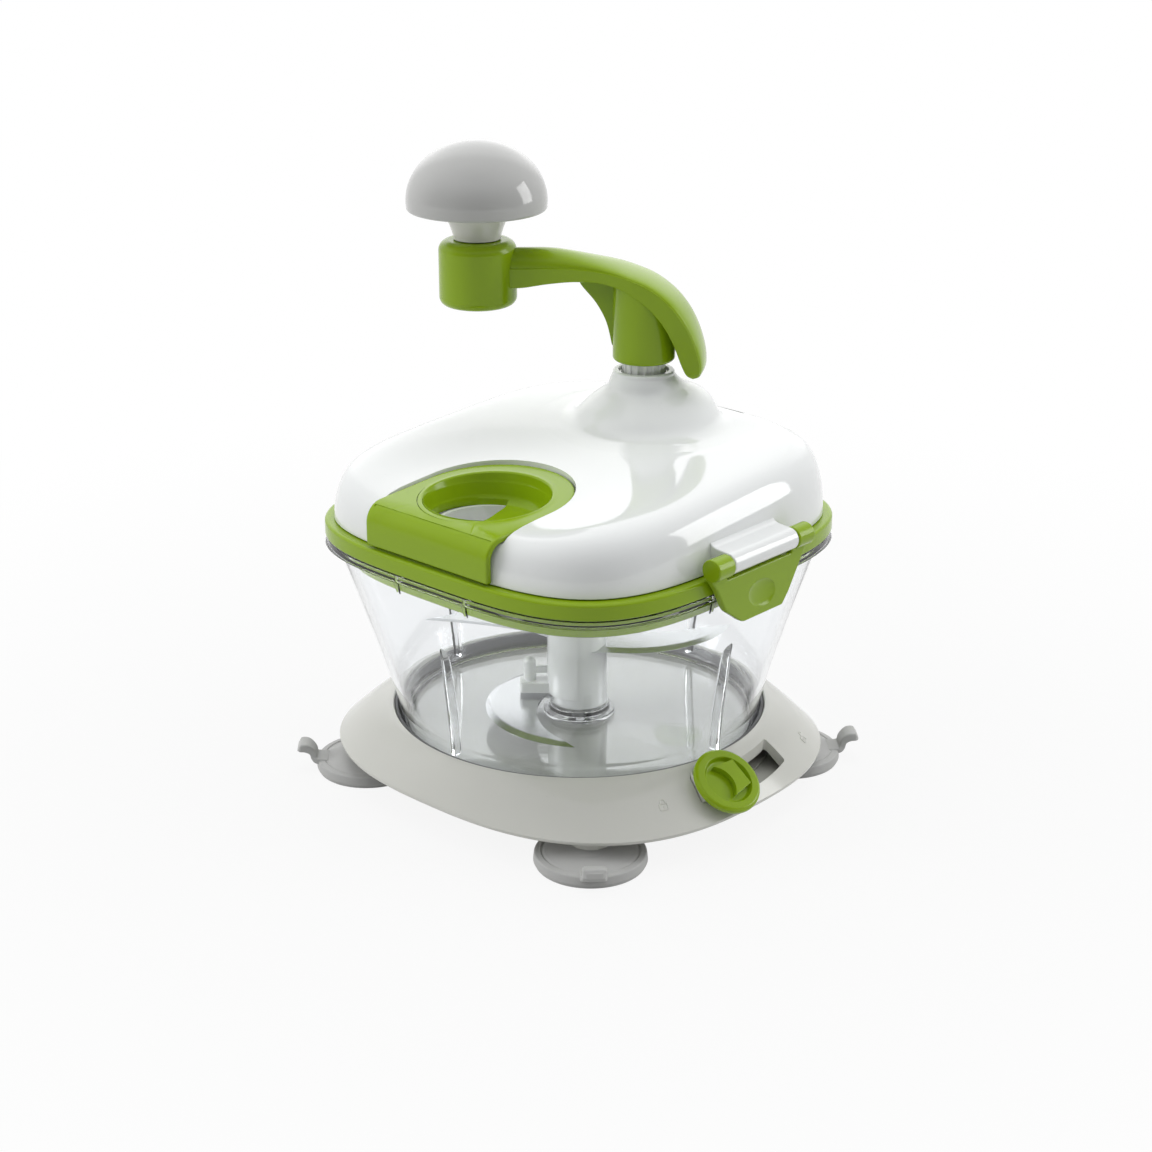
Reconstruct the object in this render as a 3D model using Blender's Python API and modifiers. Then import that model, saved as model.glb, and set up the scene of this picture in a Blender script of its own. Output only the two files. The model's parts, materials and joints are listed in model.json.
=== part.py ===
"""Hand-cranked food chopper: suction base, clear bowl, three blades, geared lid and crank.

Run with: blender --background --python part.py
Metres, +Z up, the bowl's axis on Z and the table at Z = 0. The feed cap faces -Y.
"""

import math

import bmesh
import bpy
from mathutils import Matrix, Vector

MM = 0.001

# Clearances
REST = 0.3 * MM
TURN = 0.3 * MM
FIT = 0.15 * MM

# Bowl's foot, which the base is drawn round
FOOT_R = 76.0 * MM

# Base
OPENING_GAP = 1.9 * MM
OPENING_R = FOOT_R + OPENING_GAP
BASE_HALF_X = OPENING_R + 19.4 * MM
BASE_HALF_Y = OPENING_R + 12.5 * MM
BASE_POWER = 2.6
BASE_EDGE_Z = 13.0 * MM
BASE_LIP = 1.5 * MM
BASE_RIM_Z = BASE_EDGE_Z + 18.0 * MM
BASE_FLOOR_Z = BASE_RIM_Z - 8.8 * MM
BASE_WALL = 2.5 * MM
BASE_PLATE_T = 1.6 * MM
BASE_BOSS_R = 4.0 * MM
BASE_BOSS_AT = OPENING_R - 25.9 * MM
FLANK = ((0.0, 0.0), (0.27, 0.34), (0.58, 0.69), (0.86, 0.93), (1.0, 1.0))

# Suction feet and their lever
CUP_R = 22.4 * MM
CUP_AT = (OPENING_R + 11.2 * MM) / math.sqrt(2)
CUP_TOP_Z = BASE_EDGE_Z - 4.0 * MM
CUP_NECK_R = 7.0 * MM
CUP_POCKET_R = 6.8 * MM
TAB_W = 10.0 * MM
TAB_T = 2.5 * MM
TAB_REACH = CUP_R + 5.6 * MM
LEVER_TRAVEL = math.radians(17.0)
LEVER_ANGLE = math.radians(-9.0)
SLOT_SHARE = 0.5515
SLOT_R = OPENING_R + SLOT_SHARE * (BASE_HALF_X - OPENING_R)
SLOT_W = 9.4 * MM
SLOT_HALF = math.radians(8.0)
CAM_RING_R = OPENING_R + 4.1 * MM
CAM_RING_W = 8.0 * MM
CAM_RING_T = 1.4 * MM
CAM_LIFT = 1.6 * MM
PLUNGER_R = 2.0 * MM
PLUNGER_HEAD_R = 4.2 * MM
PLUNGER_FOOT_Z = 4.4 * MM
SUCTION_KNOB_R = 14.0 * MM
SUCTION_KNOB_T = 3.0 * MM
SUCTION_KNOB_SHARE = 0.32
SUCTION_KNOB_LIFT = 4.2 * MM
SUCTION_KNOB_DIP = math.radians(3.4)

# Bowl
FOOT_TOP_Z = BASE_RIM_Z + 2.0 * MM
BOWL_HALF = 86.0 * MM
BOWL_POWER = 3.6
BOWL_WALL = 2.4 * MM
BOWL_FLOOR_T = 2.8 * MM
BOWL_TOP_Z = 106.4 * MM
BOWL_FLANGE_T = 3.0 * MM
BOWL_FLANGE_Z = BOWL_TOP_Z - BOWL_FLANGE_T
BOWL_OVERHANG = 2.4 * MM
BOWL_FLANGE_HALF = BOWL_HALF + BOWL_OVERHANG
BOSS_R = 14.8 * MM
BOSS_STEP_R = 12.6 * MM
BOSS_H = 4.4 * MM
RIB_TOP_Z = BOWL_TOP_Z - 29.4 * MM
RIB_T = 2.0 * MM
RIB_DEPTH = 4.0 * MM
GUSSET_AT = 18.5 * MM
GUSSET_T = 1.6 * MM
GUSSET_DROP = 8.5 * MM
PIVOT_R = 3.0 * MM
PIVOT_TOP_Z = BOWL_TOP_Z - 28.4 * MM

# Blades
HUB_BOTTOM_Z = BASE_FLOOR_Z + REST + BOWL_FLOOR_T + BOSS_H + 0.5 * MM
HUB_TOP_Z = BOWL_TOP_Z - 1.9 * MM
HUB_BOTTOM_R = 11.9 * MM
HUB_TOP_R = 10.6 * MM
DRIVE_HEX_R = 5.2 * MM
DRIVE_DEPTH = 12.0 * MM
BLADE_T = 1.2 * MM
BLADE_BEVEL = 3.4 * MM
BLADE_LOW_Z = HUB_BOTTOM_Z + 2.8 * MM
BLADE_MIDDLE_Z = HUB_BOTTOM_Z + 26.4 * MM
BLADE_TOP_Z = HUB_BOTTOM_Z + 30.4 * MM
CARRIER_Z = HUB_BOTTOM_Z + 4.8 * MM
CARRIER_T = 1.3 * MM
CARRIER_TOP_Z = HUB_TOP_Z - 12.5 * MM
CARRIER_FACING = math.radians(42.2)
LUG_REACH = HUB_BOTTOM_R + 12.7 * MM
LUG_T = 4.6 * MM
TANG_R = 6.6 * MM
PEG_R = 2.5 * MM
PEG_AT = LUG_REACH - 4.2 * MM
PEG_TOP_Z = CARRIER_Z + 14.6 * MM

# Lid
PLATE_OVERHANG = 0.8 * MM
PLATE_HALF = BOWL_FLANGE_HALF + PLATE_OVERHANG
PLATE_POWER = 3.55
PLATE_Z = BOWL_TOP_Z + 1.9 * MM
PLATE_FLOOR_T = 2.3 * MM
FLANGE_T = 5.2 * MM
SKIRT_BOTTOM_Z = BOWL_TOP_Z - 9.8 * MM
SKIRT_T = 2.2 * MM
HOLE_TURN = math.radians(5.0)
COVER_LEDGE = 3.9 * MM
COVER_HALF = PLATE_HALF - COVER_LEDGE
COVER_POWER = 3.68
COVER_WALL = 2.5 * MM
COVER_RISE = 26.6 * MM
COVER_SLOPE = 0.06
COVER_DOME = 1.5 * MM
COVER_Z = PLATE_Z + FLANGE_T + REST
SHOULDER = 20.0
SHOULDER_ROUND = 1.7
NECK_R = 12.7 * MM
NECK_TOP_Z = COVER_Z + COVER_RISE + 25.0 * MM
COVER_SCREW_X = COVER_HALF - 23.3 * MM
COVER_SCREW_Y = COVER_HALF - 25.3 * MM

# Gears and crank
GEAR_INSET = 17.65 * MM
DRIVE_TEETH = 32
PINION_TEETH = 16
MODULE = (COVER_HALF - GEAR_INSET) / (DRIVE_TEETH + PINION_TEETH / 2 + 1)
GEAR_T = 6.0 * MM
GEAR_BACKLASH = 0.3 * MM
GEAR_KEY_R = 6.0 * MM
CRANK_Y = MODULE * (DRIVE_TEETH + PINION_TEETH) / 2
BRIDGE_FOOT_X = 31.0 * MM
BRIDGE_FOOT_Y = 8.0 * MM
BRIDGE_POST_R = 3.6 * MM
BRIDGE_POST_GAP = 2.25 * MM
SPINDLE_R = 8.5 * MM
SPLINE_H = 0.5 * MM
SPLINES = 16
BUSH_LENGTH = 14.4 * MM
SPINDLE_FOOT_R = 3.0 * MM
CRANK_HUB_R = 12.9 * MM
CRANK_HUB_Z = NECK_TOP_Z + 4.1 * MM
CRANK_R = 69.3 * MM
CRANK_REST = math.radians(213.0)
ARM_WALL = 2.2 * MM
ARM_CHANNEL = 0.98
ARM_WEB_T = 2.4 * MM
KNOB_HUB_R = 16.1 * MM
KNOB_HUB_Z = CRANK_HUB_Z + 20.5 * MM
KNOB_HUB_TOP_Z = KNOB_HUB_Z + 27.2 * MM
AXLE_R = 3.0 * MM
NECK_LOW_R = 9.9 * MM
NECK_HIGH_R = 14.6 * MM
DOME_R = 29.0 * MM
DOME_Z = KNOB_HUB_TOP_Z + 12.3 * MM
DOME_TOP_Z = DOME_Z + 28.0 * MM

# Latches
BARREL_R = 7.0 * MM
BARREL_HALF = 19.6 * MM
LATCH_X = COVER_HALF + 6.7 * MM
LATCH_Z = COVER_Z + 7.2 * MM
EAR_R = 6.4 * MM
EAR_OUT = BARREL_HALF + 9.9 * MM
LATCH_T = 3.2 * MM
LATCH_BOTTOM_Z = BOWL_FLANGE_Z - 8.9 * MM
LATCH_PIN_R = 1.5 * MM
LATCH_PIN_HALF = EAR_OUT - 3.0 * MM
HOOK_HALF = 10.0 * MM

# Feed cap
CAP_HALF = 31.0 * MM
CAP_FRONT_Y = -COVER_HALF - 0.9 * MM
CAP_BACK_Y = CAP_FRONT_Y + 72.2 * MM
CAP_T = 2.4 * MM
CAP_Z = COVER_Z + COVER_RISE - 6.9 * MM
CAP_Z_AT = CAP_FRONT_Y + 32.2 * MM
CAP_SLOPE = 0.07
CAP_ROLL = 11.0 * MM
FLAP_BOTTOM_Z = COVER_Z + 0.7 * MM
CAP_GAP = 0.6 * MM
DISH_Y = CAP_FRONT_Y + 33.7 * MM
DISH_HALF_X = 23.0 * MM
DISH_HALF_Y = 23.5 * MM
DISH_WALL = 1.8 * MM
DISH_FLOOR_Z = CAP_Z - 4.9 * MM
CHUTE_HALF_X = DISH_HALF_X - 2.5 * MM
CHUTE_HALF_Y = DISH_HALF_Y - 2.5 * MM
CHUTE_WALL = 1.8 * MM
WELL_WALL = 2.2 * MM

RING = 32
ROUND = 24
HUB_SIDES = 36

GREEN = ((0.30, 0.42, 0.03), 0.28, 0.0)
WHITE = ((0.86, 0.87, 0.87), 0.2, 0.0)
OFF_WHITE = ((0.62, 0.62, 0.57), 0.3, 0.0)
KNOB_WHITE = ((0.55, 0.55, 0.55), 0.22, 0.0)
CLEAR = ((0.93, 0.96, 0.96), 0.05, 0.0)
RUBBER_GREY = ((0.36, 0.36, 0.35), 0.55, 0.0)
DARK_RUBBER = ((0.02, 0.02, 0.02), 0.6, 0.0)
STEEL = ((0.66, 0.67, 0.68), 0.2, 1.0)


# Scene helpers


def clear_scene():
    for thing in list(bpy.data.objects):
        bpy.data.objects.remove(thing, do_unlink=True)


def make_collections():
    parts = bpy.data.collections.new("food_chopper")
    cutters = bpy.data.collections.new("cutters")
    for group in (parts, cutters):
        bpy.context.scene.collection.children.link(group)
    return parts, cutters


def material(name, look):
    found = bpy.data.materials.get(name)
    if found:
        return found
    made = bpy.data.materials.new(name)
    made.use_nodes = True
    shader = made.node_tree.nodes["Principled BSDF"]
    colour, roughness, metallic = look
    shader.inputs["Base Color"].default_value = (*colour, 1.0)
    shader.inputs["Roughness"].default_value = roughness
    shader.inputs["Metallic"].default_value = metallic
    return made


def add_part(name, mesh, look, at=(0, 0, 0), turn=(0, 0, 0), parent=None):
    piece = bpy.data.objects.new(name, mesh)
    PARTS.objects.link(piece)
    mesh.materials.clear()
    mesh.materials.append(material(name + "_material", look))
    piece.location = at
    piece.rotation_euler = turn
    if parent:
        piece.parent = parent
    return piece


def tidy_parts():
    """Welds the seams that Booleans leave on each piece."""
    for piece in PARTS.objects:
        if any(step.type == "BOOLEAN" for step in piece.modifiers):
            weld = piece.modifiers.new("welded", "WELD")
            weld.merge_threshold = 0.002 * MM


def add_cutter(name, mesh, at=(0, 0, 0), turn=(0, 0, 0)):
    piece = bpy.data.objects.new(name, mesh)
    CUTTERS.objects.link(piece)
    piece.location = at
    piece.rotation_euler = turn
    piece.hide_render = True
    piece.display_type = "WIRE"
    return piece


def add_axis(name, at, turn=(0, 0, 0)):
    empty = bpy.data.objects.new(name, None)
    PARTS.objects.link(empty)
    empty.location = at
    empty.rotation_euler = turn
    return empty


def combine(piece, other, operation):
    """Adds a live Boolean of another object to a piece."""
    step = piece.modifiers.new(operation.lower() + "_" + other.name, "BOOLEAN")
    step.operation = operation
    step.object = other
    step.solver = "EXACT"
    return piece


def cut(piece, *others):
    for other in others:
        combine(piece, other, "DIFFERENCE")
    return piece


def join(piece, *others):
    for other in others:
        combine(piece, other, "UNION")
    return piece


def round_edges(piece, width, segments=2, angle=40.0):
    step = piece.modifiers.new("rounded", "BEVEL")
    step.width = width
    step.segments = segments
    step.limit_method = "ANGLE"
    step.angle_limit = math.radians(angle)
    step.use_clamp_overlap = True
    return piece


# Outlines


def squircle(half_x, half_y, power, count=RING):
    """Rounded square with bowed sides, as a superellipse."""
    points = []
    for k in range(count):
        angle = 2 * math.pi * k / count
        x, y = math.cos(angle), math.sin(angle)
        reach = ((abs(x) / half_x) ** power + (abs(y) / half_y) ** power) ** (-1 / power)
        points.append((reach * x, reach * y))
    return points


def oval(half_x, half_y, centre_y=0.0, count=RING):
    steps = [2 * math.pi * k / count for k in range(count)]
    return [(half_x * math.cos(a), centre_y + half_y * math.sin(a)) for a in steps]


def blend(first, second, share):
    """Outline a share of the way from one outline to another."""
    return [
        (a[0] + share * (b[0] - a[0]), a[1] + share * (b[1] - a[1]))
        for a, b in zip(first, second)
    ]


def level(outline, z):
    return [(x, y, z) for x, y in outline]


def arc_points(centre, radius, start, end, count):
    """Points on an arc, angles in degrees."""
    steps = [math.radians(start + (end - start) * k / count) for k in range(count + 1)]
    return [(centre[0] + radius * math.cos(a), centre[1] + radius * math.sin(a)) for a in steps]


# Solids


def loft(name, rings):
    """Closed solid through rings of like point counts, with flat ends."""
    build = bmesh.new()
    rows = [[build.verts.new(p) for p in ring] for ring in rings]
    for low, high in zip(rows, rows[1:]):
        for k in range(len(low)):
            n = (k + 1) % len(low)
            build.faces.new((low[k], low[n], high[n], high[k]))
    build.faces.new(reversed(rows[0]))
    build.faces.new(rows[-1])
    bmesh.ops.connect_verts_nonplanar(build, angle_limit=math.radians(0.1), faces=build.faces[:])
    bmesh.ops.recalc_face_normals(build, faces=build.faces)
    mesh = bpy.data.meshes.new(name)
    build.to_mesh(mesh)
    build.free()
    return mesh


def prism(name, outline, low, high):
    """Outline in XY raised from one height to another."""
    return loft(name, [level(outline, low), level(outline, high)])


def revolve(name, profile, steps=ROUND):
    """Closed profile of (radius, height) points turned about Z by a Screw modifier."""
    build = bmesh.new()
    ends = [build.verts.new((r, 0.0, z)) for r, z in profile]
    for first, second in zip(ends, ends[1:]):
        build.edges.new((first, second))
    if profile[0][0] > 0:
        build.edges.new((ends[-1], ends[0]))
    mesh = bpy.data.meshes.new(name)
    build.to_mesh(mesh)
    build.free()
    holder = bpy.data.objects.new(name + "_profile", mesh)
    bpy.context.scene.collection.objects.link(holder)
    screw = holder.modifiers.new("turned", "SCREW")
    screw.steps = steps
    screw.render_steps = steps
    screw.use_merge_vertices = True
    screw.merge_threshold = 0.00001
    screw.use_normal_calculate = True
    turned = settle(holder)
    build = bmesh.new()
    build.from_mesh(turned)
    bmesh.ops.recalc_face_normals(build, faces=build.faces)
    build.to_mesh(turned)
    build.free()
    return turned


def settle(holder):
    """Mesh of an object with its modifiers applied; the object is removed."""
    graph = bpy.context.evaluated_depsgraph_get()
    made = bpy.data.meshes.new_from_object(holder.evaluated_get(graph))
    made.name = holder.name.replace("_profile", "")
    bpy.data.objects.remove(holder, do_unlink=True)
    return made


def rod(name, radius, low, high, steps=24):
    return prism(name, oval(radius, radius, count=steps), low, high)


def moved(mesh, matrix):
    mesh.transform(matrix)
    return mesh


def box(name, low, high):
    corners = [(low[0], low[1]), (high[0], low[1]), (high[0], high[1]), (low[0], high[1])]
    return prism(name, corners, low[2], high[2])


# Along X: an outline in YZ becomes a slab between two X places
SIDEWAYS = Matrix(((0, 0, 1, 0), (1, 0, 0, 0), (0, 1, 0, 0), (0, 0, 0, 1)))


def slab_x(name, outline_yz, low, high):
    return moved(prism(name, outline_yz, low, high), SIDEWAYS)


# Gears


def gear_outline(teeth, backlash, count=2, pressure=math.radians(20)):
    """Involute spur gear outline with a tooth centred on +X."""
    pitch = MODULE * teeth / 2
    base = pitch * math.cos(pressure)
    tip, root = pitch + MODULE, pitch - 1.25 * MODULE
    half = math.pi / (2 * teeth) - backlash / (4 * pitch) + math.tan(pressure) - pressure
    start = max(base, root)
    flank = []
    for k in range(count + 1):
        radius = start + (tip - start) * k / count
        roll = math.acos(min(1.0, base / radius))
        flank.append((radius, half - (math.tan(roll) - roll)))
    points = []
    for k in range(teeth):
        centre = 2 * math.pi * k / teeth
        foot = flank[0][1] + 0.15 * (math.pi / teeth - flank[0][1])
        points.append((root, centre - foot))
        points += [(r, centre - a) for r, a in flank]
        points += [(r, centre + a) for r, a in reversed(flank)]
        points.append((root, centre + foot))
    return [(r * math.cos(a), r * math.sin(a)) for r, a in points]


def spline_outline(radius, height, count):
    """Round shaft with a fine rib for each spline."""
    points = []
    for k in range(count):
        for share, out in ((-0.32, 0), (-0.22, 1), (0.22, 1), (0.32, 0)):
            angle = 2 * math.pi * (k + share) / count
            reach = radius + out * height
            points.append((reach * math.cos(angle), reach * math.sin(angle)))
    return points


# Screws


def add_screw(name, at, shank_r, head_r, length, parent=None):
    """Round-headed screw pointing up, its head's top face at the given place."""
    head_t = 0.45 * head_r
    profile = [(0, length), (shank_r, length), (shank_r, 0), (head_r, 0), (0.8 * head_r, -head_t), (0, -head_t)]
    return add_part(name, revolve(name, profile, 7), STEEL, at=at, parent=parent)


# Base


def base_outline(inset=0.0):
    return squircle(BASE_HALF_X - inset, BASE_HALF_Y - inset, BASE_POWER)


def base_rings(inset, rim_r, low, drop):
    """Rings up the base's flank, from its edge to its round opening."""
    rise = BASE_RIM_Z - BASE_EDGE_Z - BASE_LIP
    outer = base_outline(inset)
    opening = oval(rim_r, rim_r)
    rings = [level(outer, low), level(outer, BASE_EDGE_Z + BASE_LIP - drop)]
    for share, height in FLANK[1:]:
        rings.append(level(blend(outer, opening, share), BASE_EDGE_Z + BASE_LIP + rise * height - drop))
    return rings


def hollow_rings():
    """Rings of the space inside the base, round the wall of the bowl's seat."""
    outer = base_outline(BASE_WALL)
    wall_r = OPENING_R + BASE_WALL
    wall = oval(wall_r, wall_r)
    drop = 3.4 * MM
    rise = BASE_RIM_Z - BASE_EDGE_Z - BASE_LIP
    rings = [level(outer, BASE_EDGE_Z - 2 * MM), level(outer, plate_top() + 0.1 * MM)]
    for share, height in ((0.32, 0.34), (0.68, 0.69), (1.0, 0.9)):
        rings.append(level(blend(outer, wall, share), BASE_EDGE_Z + BASE_LIP + rise * height - drop))
    rings.append(level(wall, BASE_FLOOR_Z - BASE_WALL))
    return rings


def flank_place(angle, share):
    """Radius and height on the base's flank, a share of the way from its edge to its opening."""
    x, y = abs(math.cos(angle)) / BASE_HALF_X, abs(math.sin(angle)) / BASE_HALF_Y
    reach = (x**BASE_POWER + y**BASE_POWER) ** (-1 / BASE_POWER)
    for (low, low_h), (high, high_h) in zip(FLANK, FLANK[1:]):
        if low <= share <= high:
            height = low_h + (high_h - low_h) * (share - low) / (high - low)
    rise = BASE_RIM_Z - BASE_EDGE_Z - BASE_LIP
    return reach - share * (reach - OPENING_R), BASE_EDGE_Z + BASE_LIP + rise * height


def make_base_shell():
    outer = base_rings(0, OPENING_R + 0.4 * MM, BASE_EDGE_Z, 0)
    shell = add_part("base_shell", loft("base_shell", outer), OFF_WHITE)
    hollow = add_cutter("base_hollow", loft("base_hollow", hollow_rings()))
    well = add_cutter("base_well", rod("base_well", OPENING_R, BASE_FLOOR_Z, BASE_RIM_Z + 5 * MM, RING))
    cut(shell, hollow, well)
    boss_low = plate_top() + REST
    for k in range(4):
        angle = math.radians(90 * k)
        at = (BASE_BOSS_AT * math.cos(angle), BASE_BOSS_AT * math.sin(angle), 0)
        boss = add_cutter(f"base_boss_{k}", rod(f"base_boss_{k}", BASE_BOSS_R, boss_low, BASE_FLOOR_Z - 1 * MM, 10), at)
        join(shell, boss)
    for k in range(4):
        angle = math.radians(90 * k)
        at = (BASE_BOSS_AT * math.cos(angle), BASE_BOSS_AT * math.sin(angle), 0)
        pilot = add_cutter(f"base_pilot_{k}", rod(f"base_pilot_{k}", 1.7 * MM, boss_low - 1 * MM, boss_low + 4.6 * MM, 8), at)
        cut(shell, pilot)
    for k, (x, y) in enumerate(cup_places()):
        room = rod(f"head_room_{k}", PLUNGER_HEAD_R + 0.6 * MM, BASE_EDGE_Z, plunger_seat() + 1.9 * MM, 14)
        cut(shell, add_cutter(f"head_room_{k}", room, (x, y, 0)))
    cut(shell, add_cutter("lever_slot", slot_mesh("lever_slot")))
    return shell


def slot_mesh(name):
    """Curved slot that the lever's neck slides along."""
    low, high = plate_top() - 0.4 * MM, BASE_RIM_Z + 3 * MM
    start = LEVER_ANGLE - SLOT_HALF
    end = LEVER_ANGLE + SLOT_HALF + LEVER_TRAVEL
    steps = [start + (end - start) * k / 12 for k in range(13)]
    far = [((SLOT_R + SLOT_W / 2) * math.cos(a), (SLOT_R + SLOT_W / 2) * math.sin(a)) for a in steps]
    near = [((SLOT_R - SLOT_W / 2) * math.cos(a), (SLOT_R - SLOT_W / 2) * math.sin(a)) for a in reversed(steps)]
    return prism(name, far + near, low, high)


def plate_top():
    return BASE_EDGE_Z + 0.2 * MM + BASE_PLATE_T


def cup_places():
    return [(sx * CUP_AT, sy * CUP_AT) for sx, sy in ((1, -1), (-1, -1), (-1, 1), (1, 1))]


def make_base_plate():
    low = BASE_EDGE_Z + 0.2 * MM
    mesh = prism("base_plate", base_outline(BASE_WALL + 0.5 * MM), low, plate_top())
    plate = add_part("base_plate", mesh, OFF_WHITE)
    for k, (x, y) in enumerate(cup_places()):
        collar = revolve(f"cup_collar_{k}", [
            (CUP_NECK_R + 0.4 * MM, CUP_TOP_Z + 0.4 * MM),
            (CUP_NECK_R + 1.6 * MM, CUP_TOP_Z + 0.4 * MM),
            (CUP_NECK_R + 1.6 * MM, low + 1 * MM),
            (CUP_NECK_R + 0.4 * MM, low + 1 * MM),
        ], 12)
        join(plate, add_cutter(f"cup_collar_{k}", collar, (x, y, 0)))
        hole = rod(f"plunger_hole_{k}", PLUNGER_R + TURN, low - 4 * MM, plate_top() + 1 * MM, 10)
        cut(plate, add_cutter(f"plunger_hole_{k}", hole, (x, y, 0)))
    for k in range(4):
        angle = math.radians(90 * k)
        at = (BASE_BOSS_AT * math.cos(angle), BASE_BOSS_AT * math.sin(angle), 0)
        hole = rod(f"plate_hole_{k}", 2.0 * MM, low - 1 * MM, plate_top() + 1 * MM, 8)
        cut(plate, add_cutter(f"plate_hole_{k}", hole, at))
        add_screw(f"base_screw_{k + 1}", (at[0], at[1], low - REST), 1.5 * MM, 3.2 * MM, 6.4 * MM)
    return plate


def make_seat_ring():
    outer = OPENING_R - 0.2 * MM
    profile = [
        (FOOT_R + 0.4 * MM, BASE_RIM_Z - 0.6 * MM),
        (outer, BASE_RIM_Z - 0.6 * MM),
        (outer, BASE_FLOOR_Z + REST),
        (FOOT_R + 0.4 * MM, BASE_FLOOR_Z + REST),
    ]
    add_part("seat_ring", revolve("seat_ring", profile, RING), DARK_RUBBER)


def make_suction_cups():
    neck_top = BASE_EDGE_Z - 0.2 * MM
    profile = [
        (PLUNGER_R + TURN, neck_top),
        (CUP_NECK_R, neck_top),
        (CUP_NECK_R, CUP_TOP_Z),
        (CUP_NECK_R + 4 * MM, CUP_TOP_Z - 1.6 * MM),
        (CUP_R, 4.0 * MM),
        (CUP_R, 0),
        (CUP_R - 3 * MM, 0),
        (0, 1.6 * MM),
        (0, 2.7 * MM),
        (CUP_POCKET_R, 2.7 * MM),
        (CUP_POCKET_R, CUP_TOP_Z - 1.6 * MM),
        (PLUNGER_R + TURN, CUP_TOP_Z - 1.6 * MM),
    ]
    for k, (x, y) in enumerate(cup_places()):
        outward = math.atan2(y, x)
        name = f"suction_cup_{k + 1}"
        cup = add_part(name, cup_mesh(name, profile), RUBBER_GREY, at=(x, y, 0), turn=(0, 0, outward))
        nose = TAB_REACH - TAB_W / 2
        outline = arc_points((nose, 0), TAB_W / 2, -90, 90, 5)
        outline += [(CUP_R - 6 * MM, TAB_W / 2), (CUP_R - 6 * MM, -TAB_W / 2)]
        tab = add_cutter(f"tab_{k}", prism(f"tab_{k}", outline, 3.6 * MM, 3.6 * MM + TAB_T), (x, y, 0), (0, 0, outward))
        join(cup, tab)


def cup_mesh(name, profile):
    """Revolved cup whose profile meets the axis at both membrane faces."""
    axis = [k for k, point in enumerate(profile) if point[0] == 0]
    turned = profile[axis[1]:] + profile[:axis[0] + 1]
    return revolve(name, turned, 16)


def make_lever():
    """Cam ring under the base's floor, with the neck that comes out through the slot."""
    axis = add_axis("suction_lever", (0, 0, 0))
    low = plate_top() + REST
    ring = revolve("suction_ring", [
        (CAM_RING_R - CAM_RING_W, low + CAM_RING_T),
        (CAM_RING_R, low + CAM_RING_T),
        (CAM_RING_R, low),
        (CAM_RING_R - CAM_RING_W, low),
    ], RING)
    lever = add_part("suction_ring", ring, OFF_WHITE, parent=axis)
    for k in range(4):
        ramp = add_cutter(f"cam_{k}", cam_mesh(f"cam_{k}", math.radians(45 + 90 * k), low))
        join(lever, ramp)
    start, end = LEVER_ANGLE - SLOT_HALF + 0.006, LEVER_ANGLE + SLOT_HALF - 0.006
    steps = [start + (end - start) * k / 4 for k in range(5)]
    in_r, out_r = CAM_RING_R - 3 * MM, SLOT_R + SLOT_W / 2 - 0.5 * MM
    inner = [0.8 * a + 0.2 * LEVER_ANGLE for a in steps]
    arm = [((out_r - 1 * MM) * math.cos(a), (out_r - 1 * MM) * math.sin(a)) for a in inner]
    arm += [(in_r * math.cos(a), in_r * math.sin(a)) for a in reversed(inner)]
    join(lever, add_cutter("lever_arm", prism("lever_arm", arm, low + 0.2 * MM, low + CAM_RING_T + 0.3 * MM)))
    near_r = SLOT_R - SLOT_W / 2 + 0.5 * MM
    neck = [(out_r * math.cos(a), out_r * math.sin(a)) for a in steps]
    neck += [(near_r * math.cos(a), near_r * math.sin(a)) for a in reversed(steps)]
    join(lever, add_cutter("lever_neck", prism("lever_neck", neck, low, BASE_RIM_Z + 4 * MM)))
    trim = add_cutter("lever_trim", box("lever_trim", (-30 * MM, -30 * MM, -REST), (30 * MM, 30 * MM, 20 * MM)))
    trim.matrix_world = knob_frame()
    cut(lever, trim)
    make_suction_knob(axis)
    return axis


def knob_frame():
    """Place of the lever knob's underside, tilted to lie along the base's flank."""
    radius, z = flank_place(LEVER_ANGLE, SUCTION_KNOB_SHARE)
    edge_r, edge_z = flank_place(LEVER_ANGLE, 0.0)
    rim_r, rim_z = flank_place(LEVER_ANGLE, 1.0)
    tilt = math.atan2(rim_z - edge_z, edge_r - rim_r) - SUCTION_KNOB_DIP
    turn = Matrix.Rotation(LEVER_ANGLE, 4, "Z")
    return turn @ Matrix.Translation((radius, 0, z + SUCTION_KNOB_LIFT)) @ Matrix.Rotation(tilt, 4, "Y")


def cam_top():
    return plate_top() + REST + CAM_RING_T + 0.8 * MM


def cam_mesh(name, centre, low):
    """Ramp that lifts a plunger's head as the ring turns."""
    inner, outer = CAM_RING_R - 1 * MM, CUP_AT * math.sqrt(2) - PLUNGER_R - 0.5 * MM
    rings = []
    lead = math.radians(4)
    steps = [-LEVER_TRAVEL - lead] + [LEVER_TRAVEL * (k / 6 - 1) for k in range(7)] + [lead]
    for step in steps:
        angle = centre + step
        top = cam_top() + CAM_LIFT * min(0.0, max(-1.0, step / LEVER_TRAVEL))
        rings.append([
            (inner * math.cos(angle), inner * math.sin(angle), low),
            (outer * math.cos(angle), outer * math.sin(angle), low),
            (outer * math.cos(angle), outer * math.sin(angle), top),
            (inner * math.cos(angle), inner * math.sin(angle), top),
        ])
    return loft(name, rings)


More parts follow.
